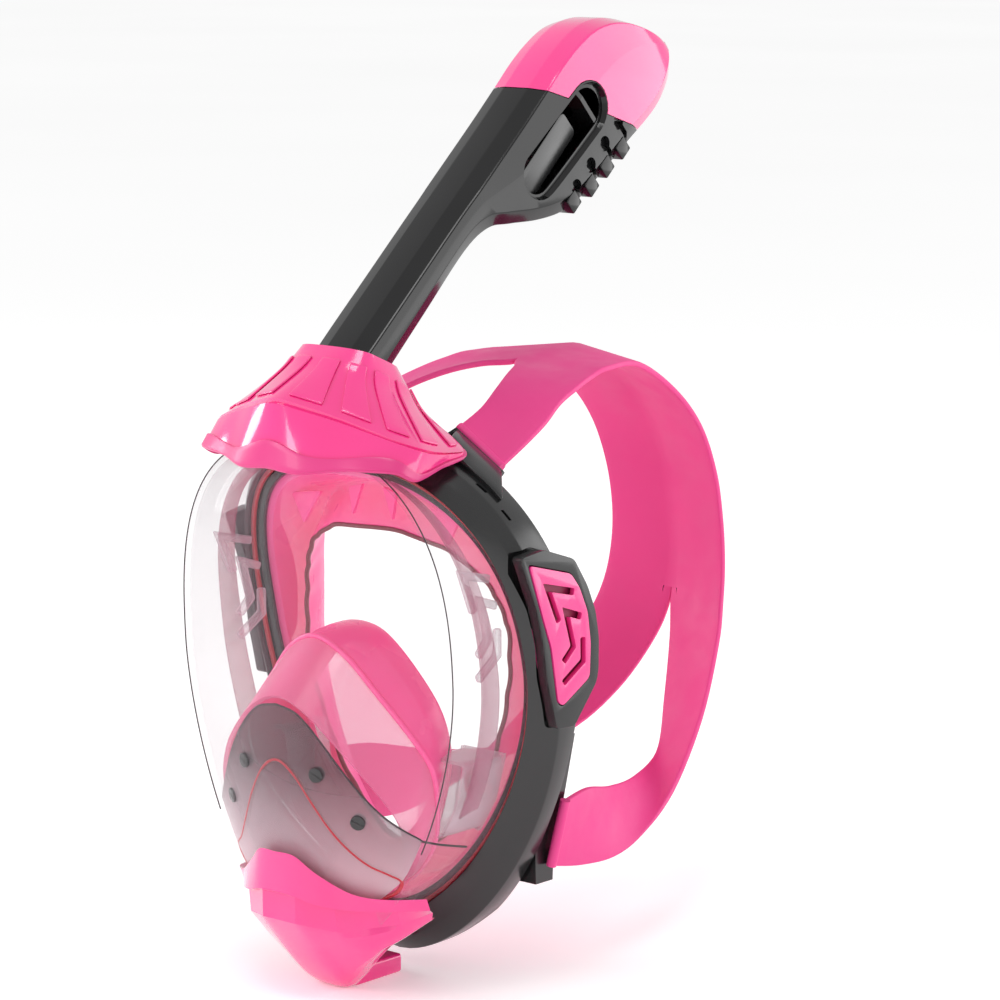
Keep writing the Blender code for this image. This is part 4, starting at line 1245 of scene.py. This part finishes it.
def make_valve_boxes():
    """Clear walls round each inhale valve, in front of its plate."""
    outer = rounded(VALVE_PLATE, 4.0, 4)
    inner = grown(outer, -VALVE_BOX_WALL)
    front, back = VALVE_BOX_FRONT, VALVE_BOX_BACK
    for side, word in SIDES:
        loops = []
        for shape, depth in ((outer, front), (outer, back), (inner, back), (inner, front)):
            loops.append([Vector((side * x, depth, z)) for x, z in shape])
        box = loft(f"{word}_valve_box", loops, closed=True)
        dress(settle(box), "clear_edge_highlight")


def dress_nodes():
    for look, names in NODE_LOOKS.items():
        for name in names:
            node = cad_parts[name]
            node.data.materials.clear()
            node.data.materials.append(LOOKS[look])
            node.data.shade_smooth()
            node.data.set_sharp_from_angle(angle=math.radians(32))
            soften(node, 0.35)


# --- head strap

# The right half's outer and inner edge, from the upper bar round the head to the lower lug.
STRAP_ROWS = [
    ((48, 13, 75), (26, 13, 89)), ((48.5, 26, 82), (25, 27, 94.5)), ((48, 40, 89.5), (20.5, 41, 100)),
    ((45, 53, 96), (14.5, 55, 104)), ((42.5, 67, 100.5), (8, 68, 106)), ((40, 79, 103.5), (0, 79, 106.5)),
    ((37.5, 93, 105.5), (0, 95, 109)), ((33, 119, 104), (0, 120, 109)), ((30, 147, 90), (0, 148, 96)),
    ((30, 165, 73), (0, 168, 77)), ((30, 176, 52), (0, 181, 53)), ((30, 181, 31), (0, 186.5, 30)),
    ((31, 181.5, 12), (0, 187.5, 10)), ((33, 178, -5), (0, 185.5, -6)), ((37, 170, -21), (4, 180, -24)),
    ((44.5, 149, -49), (13, 165, -47)), ((52, 120, -74), (25, 145, -64)), ((56, 95, -87), (38, 112, -68)),
    ((57.5, 74, -92), (49, 82, -65)), ((57.5, 52, -91), (59.5, 54, -59)), ((59, 32, -87), (66, 32, -59)),
]
STRAP_THICKNESS = 2.4
STRAP_ROLL_RADIUS = 2.1
MIRROR_MERGE = 0.02
STRAP_ACROSS = 8


def make_strap():
    outer = through([Vector(o) for o, _ in STRAP_ROWS], 6)
    inner = through([Vector(i) for _, i in STRAP_ROWS], 6)
    rows = []
    for a, b in zip(inner, outer):
        a = Vector((max(0.0, a.x), a.y, a.z))
        rows.append([a.lerp(b, column / STRAP_ACROSS) for column in range(STRAP_ACROSS + 1)])
    strap = surface("strap", rows)
    modify(strap, "MIRROR", merge_threshold=MIRROR_MERGE * MM)
    wall(strap, STRAP_THICKNESS, 0.0)
    soften(strap, 0.75, 3, 50.0)
    dress(settle(strap, 50), "strap_silicone", nodes=("head_strap",))
    for side, word in SIDES:
        for place, row in (("upper", rows[0]), ("lower", rows[-1])):
            ends = [Vector((side * p.x, p.y, p.z)) for p in row]
            name = f"{word}_{place}_strap_roll"
            wire(name, ends, STRAP_ROLL_RADIUS, "strap_silicone", resolution=4)


# --- snorkel

# Sections along the snorkel: distance along it, its front, its back and its half width.
SPIGOT_STATIONS = [(-30, 4.5, -9.5, 9.0), (-14.6, 4.8, -9.8, 9.2)]
TUBE_STATIONS = [
    (-14, 10.4, -8.6, 14.2), (0, 10.4, -8.0, 14.6), (30, 10.0, -7.7, 14.6), (62, 9.6, -7.4, 14.6),
    (78, 9.2, -11.0, 14.8), (88, 9.0, -19.0, 15.4), (100, 8.8, -29.5, 16.4), (112, 8.6, -37.5, 17.2),
    (124, 8.5, -41.8, 17.5), (140, 8.6, -44.4, 17.6), (152, 8.8, -46.0, 17.6), (164, 7.8, -47.8, 17.4),
    (176, 5.0, -50.0, 17.0), (186, -0.6, -51.4, 16.2), (194, -8.2, -51.4, 15.2), (202, -19.4, -50.2, 13.8),
    (207.5, -29.5, -48.0, 12.0), (210.5, -37.0, -45.4, 9.5),
]
BORE_START = -36
BORE_END = (207, -33.0, -46.0, 10.5)
SECTION_ROUNDING = 0.6
FRONT_FLAT = 6.3
SHOULDER_WIDTH = 14.2
FRONT_CUT = 2.5
REAR_CUT = (4.0, 7.0)
# The seam between tube and cap, and the window's two ends, as (along, front).
SEAM_LOW = (133.5, 14.4)
SEAM_HIGH = (167.5, -45.0)
WINDOW_LOW = (111.0, -13.5)
WINDOW_HIGH = (150.0, -16.0)
WINDOW_RADIUS = 8.6
WINDOW_RIM = 3.0
# The taper that gives the window its sloping rim: growth of its outline, and distance from the middle.
WINDOW_BEVEL = ((3.6, 19.4), (2.7, 17.6), (0.0, 12.6))
SNORKEL_WALL = 2.0
DRAIN = [(86, -12), (104, -26), (112, -48), (88, -36)]
DRAIN_HALF_WIDTH = 10.0
# Round notches along the head's rear edge, as distances along the snorkel.
NOTCHES = (122.5, 134.8, 147.0, 159.3)
NOTCH_RADIUS = 3.2
NOTCH_FRONT = -33.2
NOTCH_DEPTH = 7.5
SLIT_HALF = 1.3
TOOTH_HALF = 3.5
TOOTH_SHIFT = 1.0
# The baffle plate behind each window, as (along, front), and its distances from the middle.
BAFFLE = [(101, -21), (101, -8.5), (141, -8.5), (141, -21)]
BAFFLE_REACH = (11.6, 12.6)


def snorkel_point(along, front, x=0.0):
    return SNORKEL_BASE + SNORKEL_ALONG * along + SNORKEL_FRONT * front + Vector((x, 0, 0))


def snorkel_section(station, shrink):
    """A six-sided tube section with bevelled front and rear corners."""
    along, front, back, half = station
    depth = front - back
    flat = min(FRONT_FLAT, half * 0.5) - shrink * 0.4
    shoulder = min(SHOULDER_WIDTH, half * 0.95) - shrink
    drop = min(FRONT_CUT, depth * 0.25)
    side = max(back + REAR_CUT[1] + 1.0, front - depth * 0.35)
    rear_edge = back + min(REAR_CUT[1], depth * 0.4)
    rear_wide = half - min(REAR_CUT[0], half * 0.3) - shrink
    half -= shrink
    right = [
        (flat, front - shrink), (shoulder, front - drop - shrink * 0.8),
        (half, side), (half, rear_edge), (rear_wide, back + shrink),
    ]
    corners = right + [(-x, n) for x, n in reversed(right)]
    return [snorkel_point(along, n, x) for x, n in rounded(corners, SECTION_ROUNDING)]


def snorkel_solid(name, shrink, stations):
    return loft(name, [snorkel_section(s, shrink) for s in stations])


def fine_stations(stations):
    return list(zip(*[through(list(column), 6) for column in zip(*stations)]))


def station_at(fine, along):
    return next(station for station in fine if station[0] >= along)


def seam_side(name, above, gap):
    """A big wedge on one side of the slanting seam between tube and cap."""
    low = Vector(SEAM_LOW)
    high = Vector(SEAM_HIGH)
    way = (high - low).normalized()
    normal = Vector((-way.y, way.x))
    if normal.x < 0:
        normal = -normal
    sign = 1 if above else -1
    a, b = (p + normal * sign * gap for p in (low - way * 90, high + way * 90))
    far = normal * sign * 260
    return prism(name, [(p.x, p.y) for p in (a, b, b + far, a + far)], -60, 60, snorkel_point)


def stadium(radius):
    """An outline with round ends along the window, in (along, front)."""
    low = Vector(WINDOW_LOW)
    high = Vector(WINDOW_HIGH)
    heading = math.atan2(high.y - low.y, high.x - low.x)
    points = []
    for centre, start in ((high, heading - math.pi / 2), (low, heading + math.pi / 2)):
        for k in range(13):
            angle = start + math.pi * k / 12
            points.append((centre.x + radius * math.cos(angle), centre.y + radius * math.sin(angle)))
    return points


def window_prism(name, growth):
    """A cutter in the shape of the window, right across the head."""
    return prism(name, stadium(WINDOW_RADIUS + growth), -40, 40, snorkel_point)


def window_bevel(name, side):
    loops = []
    for growth, x in WINDOW_BEVEL:
        loops.append([snorkel_point(u, n, side * x) for u, n in stadium(WINDOW_RADIUS + growth)])
    return loft(name, loops)


def notch_cutters(fine):
    """A round hole and a slit from it to the rear edge, for each notch on each side."""
    cutters = []
    turns = [2 * math.pi * k / 20 for k in range(20)]
    for number, along in enumerate(NOTCHES):
        _, _, back, half = station_at(fine, along)
        hole = [(along + NOTCH_RADIUS * math.cos(t), NOTCH_FRONT + NOTCH_RADIUS * math.sin(t)) for t in turns]
        ends = [(along - SLIT_HALF, back - 3), (along + SLIT_HALF, back - 3)]
        slit = ends + [(along + SLIT_HALF, NOTCH_FRONT), (along - SLIT_HALF, NOTCH_FRONT)]
        for side, word in SIDES:
            inside, outside = side * (half - NOTCH_DEPTH), side * (half + 3.0)
            cutters.append(prism(f"notch_{word}_{number}", hole, inside, outside, snorkel_point))
            cutters.append(prism(f"slit_{word}_{number}", slit, inside, outside, snorkel_point))
    return cutters


def make_snorkel():
    fine = fine_stations(TUBE_STATIONS)
    inner = [(BORE_START, *SPIGOT_STATIONS[0][1:])] + [s for s in fine if -10 < s[0] < 206] + [BORE_END]
    bore = snorkel_solid("bore", SNORKEL_WALL, inner)
    window = window_prism("window", 0.0)
    bevels = [window_bevel(f"window_bevel_{word}", side) for side, word in SIDES]
    drain = prism("drain", rounded(DRAIN, 3.0, 3), -DRAIN_HALF_WIDTH, DRAIN_HALF_WIDTH, snorkel_point)
    notches = notch_cutters(fine)
    cap_room = seam_side("cap_room", True, -0.2)
    tongue = window_prism("tongue", WINDOW_RIM - 0.2)
    cut(cap_room, tongue)
    tube = snorkel_solid("snorkel_body", 0.0, SPIGOT_STATIONS + fine)
    cut(tube, bore, cap_room, window, *bevels, drain, *notches)
    dress(settle(tube, 9), "black_gloss", "snorkel", ("snorkel_tube",))
    tube_room = seam_side("tube_room", False, -0.2)
    tongue_room = window_prism("tongue_room", WINDOW_RIM + 0.2)
    cap = snorkel_solid("snorkel_top", 0.0, fine)
    cut(cap, bore, tube_room, tongue_room)
    dress(settle(cap, 9), "pink_gloss", "snorkel", ("snorkel_cap",))
    make_shade_liner(fine, window)
    for other in [bore, window, *bevels, drain, *notches, cap_room, tongue, tube_room, tongue_room]:
        bpy.data.objects.remove(other, do_unlink=True)
    make_baffles()
    make_teeth(fine)


def make_teeth(fine):
    """Blocks that stand out from the head's rear corners between the notches."""
    for number, along in enumerate(NOTCHES):
        middle = along - (NOTCHES[1] - NOTCHES[0]) / 2 + TOOTH_SHIFT
        _, _, back, half = station_at(fine, middle)
        low, high = middle - TOOTH_HALF, middle + TOOTH_HALF
        block = [(low, back - 0.3), (high, back - 0.3), (high, back + 7.0), (low, back + 7.0)]
        for side, word in SIDES:
            reach = (side * (half - 9.0), side * (half + 0.3))
            tooth = prism(f"{word}_head_tooth_{number + 1}", block, *reach, snorkel_point)
            soften(tooth, 0.6, 2)
            dress(settle(tooth), "black_gloss", "snorkel")


def make_shade_liner(fine, window):
    """A black liner round the float's room: painted shade, so that the room looks dark through the window."""
    room = [s for s in fine if 88 < s[0] < 200]
    liner = snorkel_solid("head_shade_liner", SNORKEL_WALL + 0.15, room)
    hollow = snorkel_solid("hollow", SNORKEL_WALL + 0.9, [(room[0][0] - 3, *room[0][1:])] + room[1:-2])
    drain = prism("liner_drain", DRAIN, -DRAIN_HALF_WIDTH, DRAIN_HALF_WIDTH, snorkel_point)
    cut(liner, hollow, window, drain)
    dress(settle(liner, 20, [hollow, drain]), "black_gloss", "snorkel")


def make_baffles():
    """The plate behind each window."""
    shape = rounded(BAFFLE, 3.0, 4)
    for side, word in SIDES:
        reach = [side * x for x in BAFFLE_REACH]
        plate = prism(f"{word}_window_baffle", shape, *reach, snorkel_point)
        soften(plate, 0.3)
        dress(settle(plate), "black_satin", "snorkel")


# --- assembly

LOOKS = make_looks()
make_camera()
make_lights()
make_floor(LOOKS["floor"])
make_visor()
make_visor_lines()
make_shield()
make_seal_and_studs()
make_frame()
make_rings()
make_shoulders()
make_pods()
make_air_ribs()
make_crown()
make_chin()
make_skirt()
make_skirt_fins()
make_cup()
make_valve_boxes()
dress_nodes()
make_strap()
make_snorkel()
